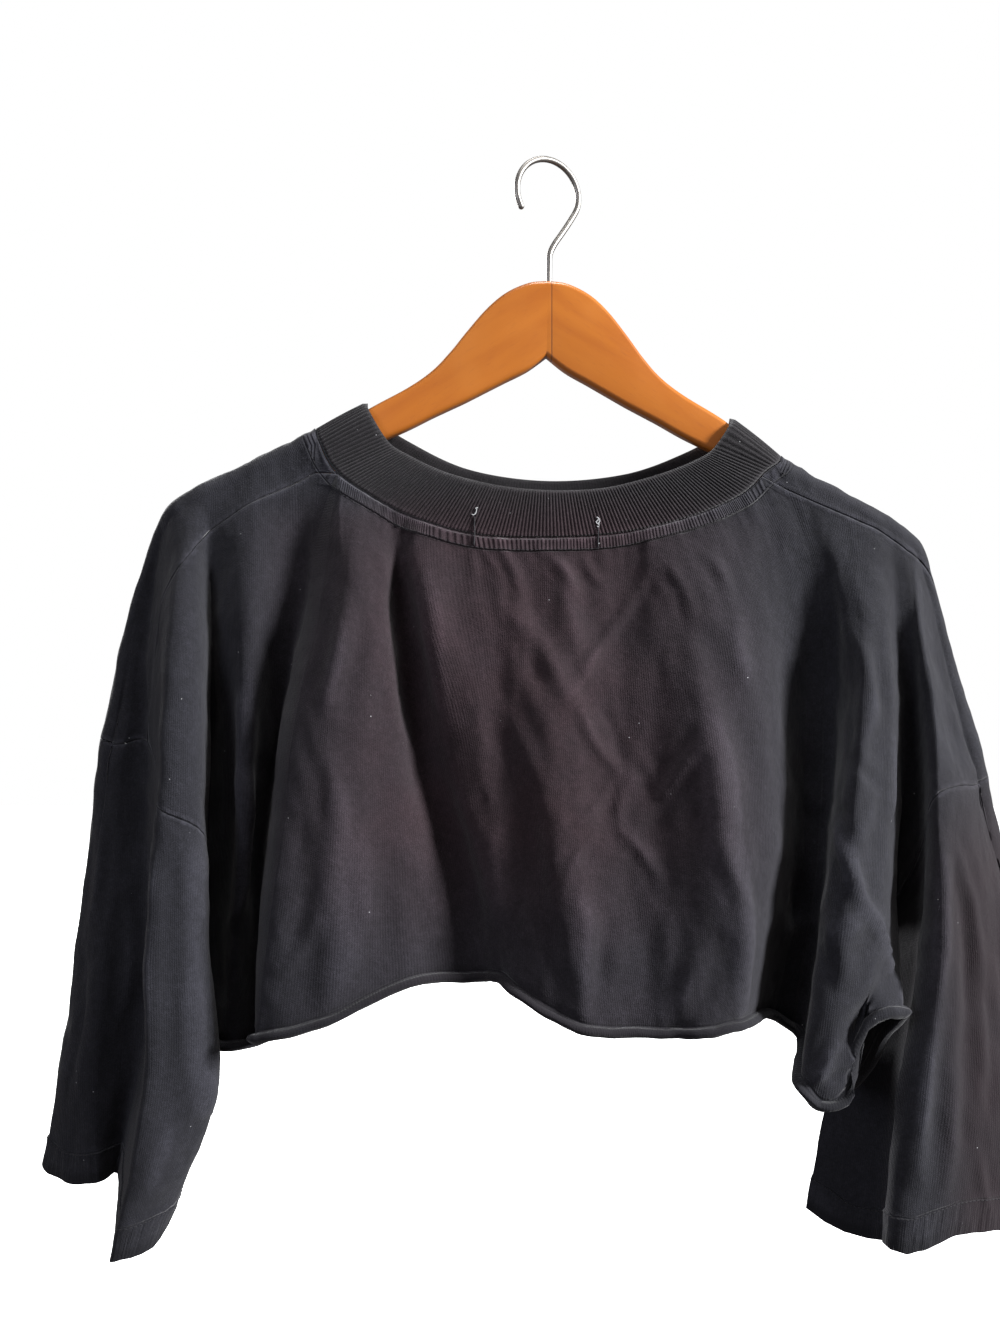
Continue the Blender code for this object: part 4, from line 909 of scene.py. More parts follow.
# Folds below the armhole seam, round from the armpit over the back side, the outer fold and
# the front side: x, y and z at the elbow, below it, and at the hem.
LEFT_SLEEVE = (
    (-23.0, 0.4, -49.6, -22.2, 0.6, -57.0, -23.2, 1.4, -63.6),     # underarm
    (-20.1, -3.7, -47.9, -19.9, -3.5, -56.8, -23.1, -3.9, -65.4),  # edge
    (-23.3, -5.2, -47.7, -23.4, -5.5, -56.0, -25.5, -5.1, -66.2),  # crest
    (-24.0, -2.2, -48.3, -24.2, -2.6, -56.2, -26.1, -3.2, -66.0),  # flank
    (-25.4, 1.5, -49.0, -26.1, 2.2, -57.0, -27.6, 2.6, -64.2),     # valley
    (-28.2, 1.4, -49.4, -28.9, 1.3, -57.0, -28.6, 1.2, -64.3),     # outer band
    (-29.5, 1.9, -49.6, -30.4, 1.8, -57.5, -30.8, 1.7, -64.5),     # outer, back
    (-30.6, 3.0, -49.8, -31.6, 3.0, -57.6, -32.6, 3.0, -63.9),     # outer fold
    (-29.6, 4.2, -49.7, -30.4, 4.3, -57.6, -31.2, 4.3, -64.1),     # outer, front
    (-28.3, 5.0, -50.0, -28.9, 5.0, -57.5, -29.3, 4.8, -64.2),     # front band
    (-25.4, 3.4, -50.0, -25.9, 3.6, -57.3, -26.6, 3.9, -63.9),     # front trough
    (-23.2, 5.2, -50.0, -23.4, 4.9, -57.0, -24.4, 4.6, -63.6),     # front crest
)
RIGHT_SLEEVE = (
    (21.9, 3.0, -50.0, 18.6, 2.6, -57.8, 16.9, 2.6, -66.5),        # underarm
    (22.6, 1.4, -50.0, 20.3, 1.0, -58.0, 18.9, 1.4, -67.5),        # under layer
    (23.3, -0.3, -50.0, 21.7, -0.4, -58.0, 21.2, 0.2, -67.5),      # valley
    (22.3, -2.3, -50.0, 20.3, -4.0, -58.0, 19.6, -4.4, -65.4),     # edge
    (23.0, -3.8, -50.0, 21.6, -4.9, -58.0, 20.6, -5.3, -65.6),     # crest
    (25.6, -2.8, -51.0, 25.4, -3.9, -58.5, 24.4, -4.5, -64.8),     # back band
    (28.2, -1.1, -51.5, 28.9, -2.1, -59.0, 28.6, -2.8, -65.3),     # side
    (30.2, 1.0, -52.0, 31.3, 0.9, -59.5, 32.0, 0.8, -66.0),        # outer, back
    (31.2, 3.0, -52.2, 32.3, 3.1, -59.6, 33.2, 3.1, -66.2),        # outer fold
    (30.1, 4.2, -52.1, 31.2, 4.4, -59.5, 31.9, 4.4, -66.1),        # outer, front
    (29.0, 5.2, -51.5, 29.8, 5.2, -59.0, 30.2, 5.0, -65.8),        # front band
    (26.4, 3.6, -51.0, 26.0, 3.8, -58.5, 25.4, 4.0, -65.4),        # front trough
    (23.4, 5.0, -50.5, 21.8, 5.0, -58.0, 20.6, 4.8, -65.6),        # front crest
)


def armhole(side, rows):
    """Points round the armhole seam from the armpit, and their places in the sleeve's rows."""
    columns, armpit = (SHOULDER_L[::-1], LEFT_ARMPIT) if side < 0 else (SHOULDER_R, RIGHT_ARMPIT)
    columns = columns[side * columns >= side * armpit - SAME_COLUMN]
    places = []
    for panel_side in (BACK, FRONT):
        knots = np.sort(side * panel_side.across)
        knots = knots[knots >= side * armpit - SAME_COLUMN]
        places.append(np.interp(side * columns, knots, np.arange(len(knots))))
    back_place, front_place = places[0], len(rows) - places[1][::-1]
    ends = [shoulder_path(value)[0] for value in columns]
    back = np.array([path[0] for path in ends])
    front = np.array([path[-1] for path in ends])[::-1]
    outer = yoke_column(columns[-1])
    if side > 0:
        behind = along(shoulder_path(columns[-1])[0],
                       shoulder_seam(columns[-1]) * (1 - UPPER_SHARES[::-1]))
        outer = np.concatenate([behind[:-1], outer])
    outer_share = (lengths(outer) / lengths(outer)[-1])[1:-1]
    outer_place = back_place[-1] + (front_place[0] - back_place[-1]) * outer_share
    points = np.concatenate([back, outer[1:-1], front[:-1]])
    return points, np.concatenate([back_place, outer_place, front_place[:-1]])


def sleeve(name, side, rows):
    """Tube from the armhole seam down to a turned hem."""
    top, place = armhole(side, rows)
    rows = np.array(rows)
    knots = through(np.concatenate([rows, rows[:1]]), place).reshape(len(place), 3, 3)
    values = np.concatenate([top[:, None], knots], axis=1)
    depths = -values[:, :, 2]
    turn = depths[:, 3:] - HEM_TURN
    shares = np.linspace(0, 1, SLEEVE_ROWS) ** SLEEVE_POWER
    depth = np.concatenate([depths[:, :1] + (turn - depths[:, :1]) * shares,
                            turn + HEM_TURN * CUFF_SHARES], axis=1)
    points = falling(depths, values, depth).transpose(1, 0, 2)
    wall = np.full(len(points), WALL)
    wall[-len(CUFF_SHARES):] = HEM_TURN_WALL
    if side > 0:
        points = points[:, ::-1]
    return Cloth(name, points[:, ::-1], closed=True, wall=wall[:, None])


# ---- Creases --------------------------------------------------------------------------
# Washed jersey keeps soft crumples.  Each is a ridge or a trough along a short bowed line on
# the outer layer, between low swells and the puckers that stitching draws into the cloth.
FAR = 9.0                 # stands for a distance that doesn't matter
CREASE_STEPS = 40
CREASE_CATCH = 0.4        # a crease's line takes its depth from the cloth this near to it,
CREASE_BLUR = 0.02        # most of all from the nearest of it,
CREASE_LAYER = 0.6        # from the outermost layer alone,
CREASE_FACING = 0.05      # where that layer faces the crease's side
CREASE_EASE = 4           # times that the line is eased
CREASE_EDGE = 4.4         # widths from the line to where a crease has died out
FINE_CREASE = 0.48        # narrower creases have a sharper crest
MOAT, MOAT_AT = 0.34, 1.7     # the shallow trough beside a crest: its share, and widths away


def distance_to(cloth, points):
    """Distance from each point of the cloth to the nearest of the points."""
    tree = tree_of(points)
    distance = np.full(cloth.used.shape, FAR)
    for r, c in zip(*np.nonzero(cloth.used)):
        distance[r, c] = tree.find(cloth.points[r, c])[2]
    return distance


def crease(cloth, toward, rows):
    """Heights of the listed creases, laid on the layer that faces toward (-1 back, 1 front)."""
    spots, normals = cloth.points[cloth.used], unit(cloth.normal[cloth.used])
    tree = tree_of(spots * (1, 0, 1))
    height = np.zeros(len(spots))
    for x0, z0, x1, z1, bow, width, rise in rows:
        share = np.linspace(0, 1, CREASE_STEPS)
        line = np.stack([x0 + (x1 - x0) * share, z0 + (z1 - z0) * share], axis=1)
        line += np.array([z0 - z1, x1 - x0]) * (bow * 4 * share * (1 - share))[:, None]
        laid = []
        for (x, z), place in zip(line, share):
            found = tree.find_range((x, 0.0, z), CREASE_CATCH)
            near = np.array([number for _, number, _ in found], dtype=int)
            near = near[normals[near, 1] * toward > CREASE_FACING]
            if len(near):
                depth = spots[near, 1] * toward
                near = near[depth > depth.max() - CREASE_LAYER]
                apart = (spots[near, 0] - x) ** 2 + (spots[near, 2] - z) ** 2
                weight = np.exp(-apart / CREASE_BLUR) + 1e-9
                laid.append((x, (spots[near, 1] * weight).sum() / weight.sum(), z, place))
        if len(laid) < 4:
            continue
        laid = np.array(laid)
        for _ in range(CREASE_EASE):
            laid[1:-1, 1] = (laid[:-2, 1] + 2 * laid[1:-1, 1] + laid[2:, 1]) / 4
        steps = 2 + int(np.hypot(x1 - x0, z1 - z0) / (0.25 * width))
        places = np.linspace(laid[0, 3], laid[-1, 3], steps)
        path = np.stack([np.interp(places, laid[:, 3], laid[:, axis]) for axis in range(3)], axis=1)
        low, high = path.min(axis=0) - CREASE_EDGE * width, path.max(axis=0) + CREASE_EDGE * width
        here = np.nonzero(((spots > low) & (spots < high)).all(axis=1))[0]
        gap = np.linalg.norm(spots[here, None] - path[None], axis=2)
        closest = gap.argmin(axis=1)
        gap = gap[np.arange(len(here)), closest] / width
        taper = np.sin(np.pi * np.clip(places[closest] * 0.94 + 0.03, 0, 1)) ** 0.8
        crest = np.exp(-gap ** (1.25 if width < FINE_CREASE else 2.0))
        height[here] += rise * taper * (crest - MOAT * np.exp(-(gap - MOAT_AT) ** 2))
    field = np.zeros(cloth.used.shape)
    field[cloth.used] = height
    return field


def rumple(cloth, seed, reach, rise):
    """Low uneven swells over the whole piece."""
    field = np.zeros(cloth.used.shape)
    for r, c in zip(*np.nonzero(cloth.used)):
        x, y, z = cloth.points[r, c] / reach
        field[r, c] = noise.fractal((x + seed, y, z / 1.9), 1.0, 2.0, 3) * rise
    return field


def puckers(cloth, distance, pitch, length, rise, seed):
    """Short ridges that run away from a stitched edge, at an uneven spacing."""
    across, _ = cloth.runs()
    chance = np.random.default_rng(seed)
    field = np.zeros(cloth.used.shape)
    place = 0.0
    while place < across[-1]:
        place += pitch * chance.uniform(0.55, 1.6)
        lean, reach = chance.normal(0, 0.25), length * chance.uniform(0.45, 1.5)
        width, strength = pitch * chance.uniform(0.2, 0.34), rise * chance.uniform(0.3, 1.2)
        aside = (across[:field.shape[1]][None] - place - lean * distance) / width
        field += strength * np.exp(-aside ** 2) * np.exp(-(distance / reach) ** 2)
    return field - field[cloth.used].mean() * (distance < 3 * length)


# Creases: x and z at one end and at the other, the bow between them, the width and the
# height; a trough is below zero.
BACK_CREASES = (
    (9.6, -30.0, 11.0, -53.0, 0.0, 1.2, 0.18),
    (-12.4, -38.0, -12.6, -52.0, 0.0, 1.1, 0.30),
    (-7.9, -24.6, -6.4, -36.6, 0.02, 1.0, 0.26),     # the folds' own swells
    (-6.6, -35.4, -3.4, -47.8, 0.02, 0.9, 0.24),
    (-8.9, -26.0, -6.6, -38.0, 0.0, 0.9, -0.20),
    (-6.6, -37.0, -3.6, -48.6, 0.0, 0.9, -0.20),
    (-1.3, -25.4, -0.7, -33.6, 0.02, 0.8, -0.10),
    (0.6, -24.6, 1.6, -30.8, 0.0, 0.7, 0.14),
    (8.6, -32.0, 9.6, -46.0, 0.04, 1.1, 0.20),
    (6.4, -31.0, 7.0, -47.0, -0.03, 0.9, -0.16),
    (11.2, -43.0, 11.0, -52.0, 0.0, 0.7, 0.16),
    (-18.4, -31.0, -18.6, -47.0, 0.0, 0.65, 0.30),
    (-10.4, -40.0, -11.6, -50.0, 0.03, 0.9, 0.20),
    (17.6, -30.0, 17.6, -46.0, 0.0, 0.8, 0.08),
    (15.2, -48.0, 19.4, -46.0, 0.06, 0.80, 0.10),
    (19.0, -33.0, 18.2, -36.6, 0.10, 0.50, 0.10),
    (19.4, -38.6, 17.6, -42.0, 0.08, 0.50, 0.12),
    (17.6, -36.6, 19.9, -38.8, -0.06, 0.40, -0.07),
    (1.6, -44.0, 2.0, -52.6, 0.0, 0.8, 0.18),
    (0.1, -24.8, 1.8, -27.4, 0.06, 0.34, 0.11),
    (2.1, -24.8, 3.1, -26.6, -0.05, 0.28, 0.09),
    (-3.1, -24.2, -1.7, -27.9, 0.08, 0.36, 0.10),
    (-4.9, -24.0, -4.6, -26.9, 0.05, 0.30, 0.07),
    (6.1, -25.5, 0.9, -32.9, 0.03, 0.36, 0.14),
    (2.9, -30.4, 0.4, -33.8, 0.08, 0.42, 0.10),
    (6.9, -25.2, 8.6, -29.0, 0.10, 0.36, 0.10),
    (9.0, -24.4, 10.9, -27.6, 0.12, 0.40, 0.09),
    (1.6, -33.0, 4.4, -38.0, -0.10, 0.38, 0.12),
    (2.7, -33.6, 4.2, -36.9, 0.06, 0.30, -0.08),
    (5.2, -36.6, 6.6, -39.4, 0.06, 0.34, 0.10),
    (9.2, -35.4, 4.7, -41.4, 0.02, 0.42, 0.15),
    (8.3, -35.0, 4.0, -40.6, 0.0, 0.40, -0.06),
    (4.1, -37.5, 1.1, -41.3, 0.05, 0.36, 0.12),
    (2.6, -41.2, 0.8, -44.6, -0.10, 0.34, 0.10),
    (4.4, -37.9, 4.1, -41.6, -0.06, 0.34, 0.10),
    (4.0, -41.0, 6.6, -44.8, 0.08, 0.38, 0.11),
    (10.0, -41.4, 11.4, -45.6, -0.06, 0.46, 0.10),
    (-2.6, -27.8, 1.4, -34.4, 0.06, 0.60, 0.11),
    (-3.4, -33.4, -0.6, -39.6, 0.08, 0.65, 0.10),
    (-1.5, -38.5, -0.3, -47.8, 0.0, 0.70, -0.15),
    (-3.8, -38.0, -2.5, -46.5, 0.0, 0.80, 0.15),
    (8.6, -47.8, 6.2, -52.4, 0.05, 0.70, 0.13),
    (0.2, -45.2, 0.6, -51.0, 0.08, 0.50, 0.09),
    (3.6, -45.6, 2.6, -52.4, -0.06, 0.55, -0.09),
    (6.6, -45.2, 5.6, -53.0, 0.05, 0.60, 0.10),
    (8.6, -28.4, 10.2, -34.2, 0.06, 0.70, -0.11),
    (11.2, -27.8, 12.2, -33.8, -0.05, 0.55, 0.10),
    (-18.9, -37.4, -18.6, -43.0, 0.06, 0.46, 0.12),
    (-18.4, -42.4, -19.8, -47.8, 0.08, 0.42, 0.11),
    (-17.0, -29.0, -17.6, -36.0, 0.05, 0.55, -0.09),
    (-13.6, -45.2, -15.8, -49.4, 0.10, 0.46, 0.12),
    (-12.2, -27.4, -13.8, -34.6, 0.06, 0.60, 0.12),
    (-10.4, -27.0, -12.0, -36.4, -0.05, 0.65, -0.12),
    (-13.4, -36.0, -12.4, -43.6, 0.07, 0.55, 0.10),
    (-11.0, -40.0, -10.0, -48.0, -0.08, 0.60, 0.11),
    (-8.4, -48.9, -6.4, -47.1, 0.05, 0.34, 0.09),
    (-8.8, -43.0, -7.4, -50.4, 0.04, 0.50, -0.09),
    (16.6, -38.4, 18.8, -46.4, -0.06, 0.46, 0.22),
    (18.4, -45.4, 20.8, -51.4, 0.06, 0.44, 0.24),
    (20.9, -51.2, 17.6, -52.6, 0.10, 0.44, 0.26),
    (17.9, -52.2, 15.3, -55.9, -0.10, 0.42, 0.24),
    (19.6, -49.8, 16.4, -53.4, 0.10, 0.60, -0.22),
    (18.2, -52.6, 17.0, -56.0, 0.0, 0.50, 0.14),
    (15.5, -54.9, 17.2, -55.5, 0.04, 0.30, -0.09),
    (14.9, -55.6, 16.9, -54.6, 0.04, 0.30, 0.14),
    (15.4, -44.0, 16.4, -51.0, -0.04, 0.70, -0.18),
    (20.6, -28.0, 20.3, -44.0, 0.01, 0.46, 0.16),
    (17.8, -28.6, 19.6, -35.8, 0.06, 0.50, 0.10),
    (20.4, -36.6, 19.8, -43.2, 0.08, 0.46, 0.10),
)
FRONT_CREASES = (
    (-3.4, -24.0, -2.2, -29.4, 0.06, 0.40, 0.10),
    (1.2, -24.2, 3.6, -30.2, -0.08, 0.46, 0.11),
    (6.8, -24.0, 5.2, -28.8, 0.10, 0.36, 0.10),
    (-8.0, -24.4, -10.4, -31.0, -0.06, 0.52, 0.12),
    (-5.2, -29.6, -7.8, -38.4, 0.07, 0.60, -0.11),
    (0.4, -31.2, -2.4, -38.0, 0.09, 0.50, 0.11),
    (4.4, -31.6, 7.0, -39.8, -0.05, 0.56, 0.12),
    (9.6, -28.8, 11.2, -36.4, 0.06, 0.62, -0.10),
    (-12.6, -30.4, -11.4, -38.2, 0.05, 0.48, 0.11),
    (-1.0, -38.8, 1.8, -45.6, 0.06, 0.42, 0.11),
    (6.2, -41.0, 3.6, -47.4, -0.09, 0.46, 0.12),
    (-8.6, -40.0, -9.8, -47.2, 0.05, 0.60, 0.10),
    (12.8, -38.0, 11.6, -45.8, 0.07, 0.50, -0.10),
    (-4.6, -44.6, -3.2, -52.0, 0.04, 0.46, 0.10),
    (8.8, -46.0, 9.6, -53.2, -0.06, 0.54, 0.11),
    (-14.8, -40.8, -13.6, -49.0, 0.08, 0.44, 0.12),
    (16.2, -30.0, 17.4, -38.6, 0.05, 0.52, 0.11),
    (18.6, -40.6, 17.0, -48.8, -0.07, 0.46, 0.12),
    (-18.0, -32.6, -18.8, -40.4, 0.06, 0.50, -0.10),
)


# ---- Washed jersey --------------------------------------------------------------------
# Sulphur black that has washed out, palest at the seams. Painted highlight lightens the crests,
# painted shade darkens the cloth along the hems and the right sleeve, and a painted warm shade
# tint browns the middle and that sleeve. Distances to the seam, hem, neck and cuff place its
# grooves.
# Painted warm shade: the browner colours of the shaded middle and right sleeve.
WARM_SHADE_DARK, WARM_SHADE_PALE = (0.0160, 0.0068, 0.0088, 1.0), (0.092, 0.056, 0.066, 1.0)
LINT = (0.55, 0.55, 0.56, 1.0)
WALE, COURSE = 0.125, 0.1          # pitch of the knit's columns and rows
GATHER = 0.23                      # pitch of the fine gathers beside a stitched edge
SEAM_LINE, STITCH_LINE = 0.06, 0.83     # grooves above and below the neck's topstitching
CUFF_LINE = 1.9
ROLL_LINE = 0.66                   # where the raw hem starts to roll


def jersey_paint(name, dark, pale, knit=0.5, crest_highlight=0.15):
    """Mottled fading with painted highlight and painted shade, the knit's relief, stitched grooves,
    nap and a few lint specks.
    """
    paint = Paint(name, 0.9, 0.0, Sheen_Weight=0.13, Sheen_Roughness=0.45, Specular_IOR_Level=0.25)
    blotch = paint.noise(26.0, 3.0, roughness=0.6)
    mottle = paint.noise(240.0, 3.0, roughness=0.65)
    grit = paint.noise(1100.0, 2.0, roughness=0.7)
    seam, hem, crest, neck, cuff = (
        Value(paint, paint.node("Attribute", {"attribute_name": mark}).outputs["Fac"])
        for mark in ("seam", "hem", "crest", "neck", "cuff"))

    def groove(distance, place, width):
        return 1.0 - (distance - place).size().step(0.0, width)

    def wave(kind, run, pitch, shift):
        turn = run * (2 * math.pi / pitch) + shift
        return turn.join(kind, turn)

    east, _, height = paint.axes(paint.place)
    band = neck.step(0.02, 0.08) * (1.0 - neck.step(0.74, 0.80))
    # Painted shade: the right sleeve below its shoulder is made darker and browner.
    sleeve = east.step(0.215, 0.26) * (1.0 - height.step(-0.46, -0.36))
    fade_and_painted_light = 0.20 + 0.14 * (blotch - 0.5) + 0.36 * (mottle - 0.5) + 0.46 * (grit - 0.5)
    fade_and_painted_light = fade_and_painted_light + 0.16 * (1.0 - seam.step(0.05, 0.42)) * (0.25 + mottle.step(0.3, 0.62))
    # Painted shade darkens the hems and cuffs; painted highlight lightens the raised crests.
    fade_and_painted_light = fade_and_painted_light - 0.20 * (1.0 - hem.step(0.3, 0.9)) + crest_highlight * crest.step(0.04, 0.3)
    # Painted shade darkens the right sleeve.
    fade_and_painted_light = (fade_and_painted_light + band * (0.12 * mottle - 0.03) - 0.20 * sleeve).step(0.0, 1.0)
    # Painted warm shade: a brown tint over the middle of the body below the neck.
    middle = 1.0 - (east + 0.02).size().step(0.03, 0.19)
    middle = middle * (0.25 + 0.75 * height.step(-0.50, -0.40)) * (1.0 - height.step(-0.235, -0.20))
    # Painted warm shade tint, strongest in the middle and on the right sleeve.
    painted_warm_shade = (middle + 0.7 * sleeve) * (0.5 + 0.6 * blotch)
    colour = paint.mix(painted_warm_shade, paint.mix(fade_and_painted_light, dark, pale), paint.mix(fade_and_painted_light, WARM_SHADE_DARK, WARM_SHADE_PALE))
    flecks = paint.node("TexVoronoi", None, Vector=paint.place, Scale=170.0)
    near = Value(paint, flecks.outputs["Distance"])
    pick = Value(paint, paint.node("SeparateColor", None, flecks.outputs["Color"]).outputs[0])
    speck = (1.0 - near.step(0.03, 0.07)) * pick.step(0.93, 0.935)
    paint.colour(paint.mix(speck * 0.75, colour, LINT))
    paint.roughness(0.82 + 0.16 * mottle)

    across, down, _ = paint.axes(paint.node("UVMap", {"uv_map": "cloth_cm"}).outputs[0])
    ripple = wave("COSINE", across, WALE, 0.0)
    stitches = 0.12 * ripple + 0.10 * wave("SINE", down, COURSE, 1.6 * ripple)
    stretched = paint.node("CombineXYZ", None, across * 3.4, down * 0.35, 0.0).outputs[0]
    puckered = paint.noise(1.0, 2.0, stretched)
    turned = 1.0 - cuff.step(CUFF_LINE, 2.0)
    channel = -1.2 * groove(seam, 0.0, 0.09) + 0.2 * groove(seam, 0.2, 0.16)
    channel = channel - 1.3 * groove(neck, STITCH_LINE, 0.06) - 0.9 * groove(neck, SEAM_LINE, 0.05)
    gathered = 0.45 * wave("COSINE", across, GATHER, 2.0 * puckered) + 1.3 * puckered
    channel = channel + band * gathered
    channel = channel - 1.1 * groove(cuff, CUFF_LINE, 0.07) + turned * (1.7 * puckered - 0.4)
    channel = channel - 1.2 * groove(hem, ROLL_LINE, 0.14) * (1.0 - turned)
    paint.relief(0.5 * mottle + 0.42 * grit + knit * stitches + channel, 0.0009, 0.85)
    return paint


# ---- The four cloth pieces ------------------------------------------------------------
# Back, front and sleeves are sewn edge to edge first.  Each is then creased, puckered along
# its seams and hung a little unevenly at its free edge.
LEFT_SLEEVE_CREASES = (
    (-20.3, -55.2, -20.4, -58.4, 0.0, 0.90, 0.26),
    (-21.4, -41.2, -22.0, -50.4, 0.03, 0.50, 0.12),
    (-21.3, -47.6, -22.0, -58.6, 0.03, 0.42, -0.13),
    (-22.6, -57.6, -23.6, -63.0, 0.05, 0.55, 0.12),
    (-21.2, -38.0, -22.8, -40.6, 0.05, 0.40, 0.10),
    (-20.9, -41.4, -21.4, -57.6, 0.02, 0.60, 0.20),
    (-22.6, -42.0, -22.9, -58.8, 0.02, 0.60, -0.22),
    (-23.9, -41.0, -22.9, -49.4, 0.05, 0.40, 0.12),
    (-22.9, -47.0, -22.6, -56.0, -0.04, 0.44, 0.12),
    (-22.4, -55.4, -23.4, -61.4, 0.06, 0.40, 0.12),
    (-24.6, -44.0, -25.8, -52.4, 0.06, 0.50, -0.10),
    (-21.0, -50.6, -20.8, -58.8, 0.05, 0.46, 0.10),
    (-26.6, -46.0, -27.6, -55.0, 0.05, 0.50, 0.10),
    (-28.4, -40.4, -29.6, -49.0, 0.04, 0.48, 0.10),
    (-29.6, -50.0, -30.8, -59.0, 0.05, 0.46, -0.09),
    (-25.0, -57.0, -25.8, -63.4, 0.06, 0.44, 0.10),
    (-21.8, -60.0, -23.2, -64.0, 0.05, 0.36, -0.09),
)
RIGHT_SLEEVE_CREASES = (
    (23.6, -41.6, 22.6, -52.6, 0.03, 0.55, 0.22),
    (22.8, -51.6, 21.4, -61.4, -0.03, 0.55, 0.22),
    (25.2, -43.0, 24.4, -60.0, 0.02, 0.80, -0.20),
    (24.6, -42.4, 26.0, -50.6, 0.06, 0.50, 0.12),
    (26.4, -49.6, 26.0, -58.0, 0.05, 0.56, -0.10),
    (28.2, -44.8, 29.4, -54.2, -0.05, 0.50, 0.12),
    (23.6, -55.4, 23.0, -62.4, 0.05, 0.46, 0.11),
    (28.0, -56.4, 27.4, -63.6, 0.06, 0.52, 0.11),
    (30.2, -50.6, 31.4, -59.8, 0.05, 0.44, -0.10),
    (25.4, -60.2, 26.4, -64.8, -0.05, 0.36, 0.09),
)
CREASE_GAIN = 1.7
SWELLS = ((0, 3.4, 0.17), (3, 1.4, 0.07))      # seed, reach and height of the low swells
SEAM_CALM, NECK_CALM = 0.55, 1.2               # no crease this near to a seam, fewer at the neck
BAND_EDGE, BAND_PROUD = 0.79, 0.075            # the stitched band beside the neck seam
CUFF_EDGE, CUFF_PROUD = 1.92, 0.10
ROLL_DIP, ROLL_DIP_AT, ROLL_DIP_WIDTH = 0.07, 0.75, 0.2     # beside the rolled hem
SAG_PITCH, SAG_FADE = 1.3, 0.9
SLEEVE_SAG, PANEL_SAG = 0.16, 0.06

jersey = jersey_paint("washed_jersey_cloth", (0.0080, 0.0079, 0.0108, 1.0),
                      (0.068, 0.067, 0.084, 1.0))
back, front = back_panel(), front_panel()
left = sleeve("jersey_left_sleeve", -1, LEFT_SLEEVE)
right = sleeve("jersey_right_sleeve", 1, RIGHT_SLEEVE)
sew([back, front, left, right])
neck_line = neck_points(np.linspace(0, len(COLLAR), 4001))
for piece, toward, creases, seed in ((back, -1, BACK_CREASES, 2.0), (front, 1, FRONT_CREASES, 7.0),
                                     (left, -1, LEFT_SLEEVE_CREASES, 12.0),
                                     (right, -1, RIGHT_SLEEVE_CREASES, 17.0)):
    tubular = piece in (left, right)
    free = np.zeros(piece.used.shape, dtype=bool)
    free[-1] = piece.used[-1]
    sewn = piece.edge & ~free
    seam, hem, neck = (distance_to(piece, points)
                       for points in (piece.points[sewn], piece.points[free], neck_line))
    cuff = hem if tubular else np.full(hem.shape, FAR)
    field = CREASE_GAIN * crease(piece, toward, creases)
    for shift, reach, rise in SWELLS:
        field = field + rumple(piece, seed + shift, reach, rise)
    for shift, distance, pitch, length, rise in (
            (0, seam, 1.15, 1.1, 0.05), (1, hem, 1.5, 1.6, 0.045), (2, neck, 0.8, 2.2, 0.07)):
        gathers = puckers(piece, distance, pitch, length, rise, int(seed) + shift)
        field = field + gathers * (distance < FAR)
    calm = 1 - np.exp(-(seam / SEAM_CALM) ** 2)
    calm = np.where(neck < NECK_CALM, np.maximum(calm, 0.6), calm)
    field = field * calm + BAND_PROUD * (neck < BAND_EDGE) + CUFF_PROUD * (cuff < CUFF_EDGE)
    if not tubular:
        field = field - ROLL_DIP * np.exp(-((hem - ROLL_DIP_AT) / ROLL_DIP_WIDTH) ** 2)
    points = piece.points + unit(piece.normal) * field[..., None]
    creased = Cloth(piece.name, points, piece.kept, piece.closed, piece.wall, piece.lift)
    creased.normal[sewn] = piece.normal[sewn]
    across, _ = creased.runs()
    sag = np.array([noise.fractal((at / SAG_PITCH, seed, 0.0), 1.0, 2.0, 2)
                    for at in across[:points.shape[1]]])
    sag = sag * np.sin(np.linspace(0, np.pi, len(sag))) ** 0.2
    sag = sag * np.exp(-(hem / SAG_FADE) ** 2)
    creased.points[..., 2] += (SLEEVE_SAG if tubular else PANEL_SAG) * sag
    item = creased.solid(jersey, seam=seam, hem=hem, crest=field, neck=neck, cuff=cuff)
    piece.points, piece.normal = creased.points, creased.normal
    piece.neck, piece.hem = neck, hem
    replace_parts(item, {"jersey_back": "back_panel",
                       "jersey_front": "front_panel"}.get(piece.name, piece.name[7:]))
    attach(item, "root")


# ---- Neckband -------------------------------------------------------------------------
# A band of rib knit, folded double and sewn on round the neck.  It stands up from its seam
# and its ribs run from the seam to the rim.
RIB_COUNT = 296
RIB_RISE = 0.07
COLLAR_WALL = 0.14
COLLAR_GAP = 0.05
RIB_COLUMNS = 6
BAND_ROWS = 14
RIM_SHARE = 0.07          # the part of the height that rounds over at the rim

# The last number lightens the rib tops as a painted highlight.
ribbing = jersey_paint("ribbed_band_cloth", (0.0070, 0.0062, 0.0070, 1.0),
                       (0.050, 0.044, 0.050, 1.0), 0.3, 0.20)
places = np.linspace(0, len(COLLAR), 40 * len(COLLAR) + 1)
seam_line = neck_points(places)
rim_line = through(COLLAR, places, closed=True)[:, 3:]
run_at = lengths(seam_line)
count = RIB_COLUMNS * RIB_COUNT
steps = np.linspace(0, run_at[-1], count, endpoint=False)
low = along(seam_line, steps)
high = np.stack([np.interp(steps, run_at, rim_line[:, axis]) for axis in range(3)], axis=-1)
low = low + unit(high - low) * COLLAR_GAP
run = np.roll(low, -1, axis=0) - np.roll(low, 1, axis=0)
out = unit(np.cross(run, high - low))
phase = (np.arange(count) % RIB_COLUMNS) / RIB_COLUMNS
rib = (0.5 + 0.5 * np.cos(2 * math.pi * phase)) ** 0.7
up = np.linspace(0, 1, BAND_ROWS)
band = low + (high - low) * up[:, None, None]
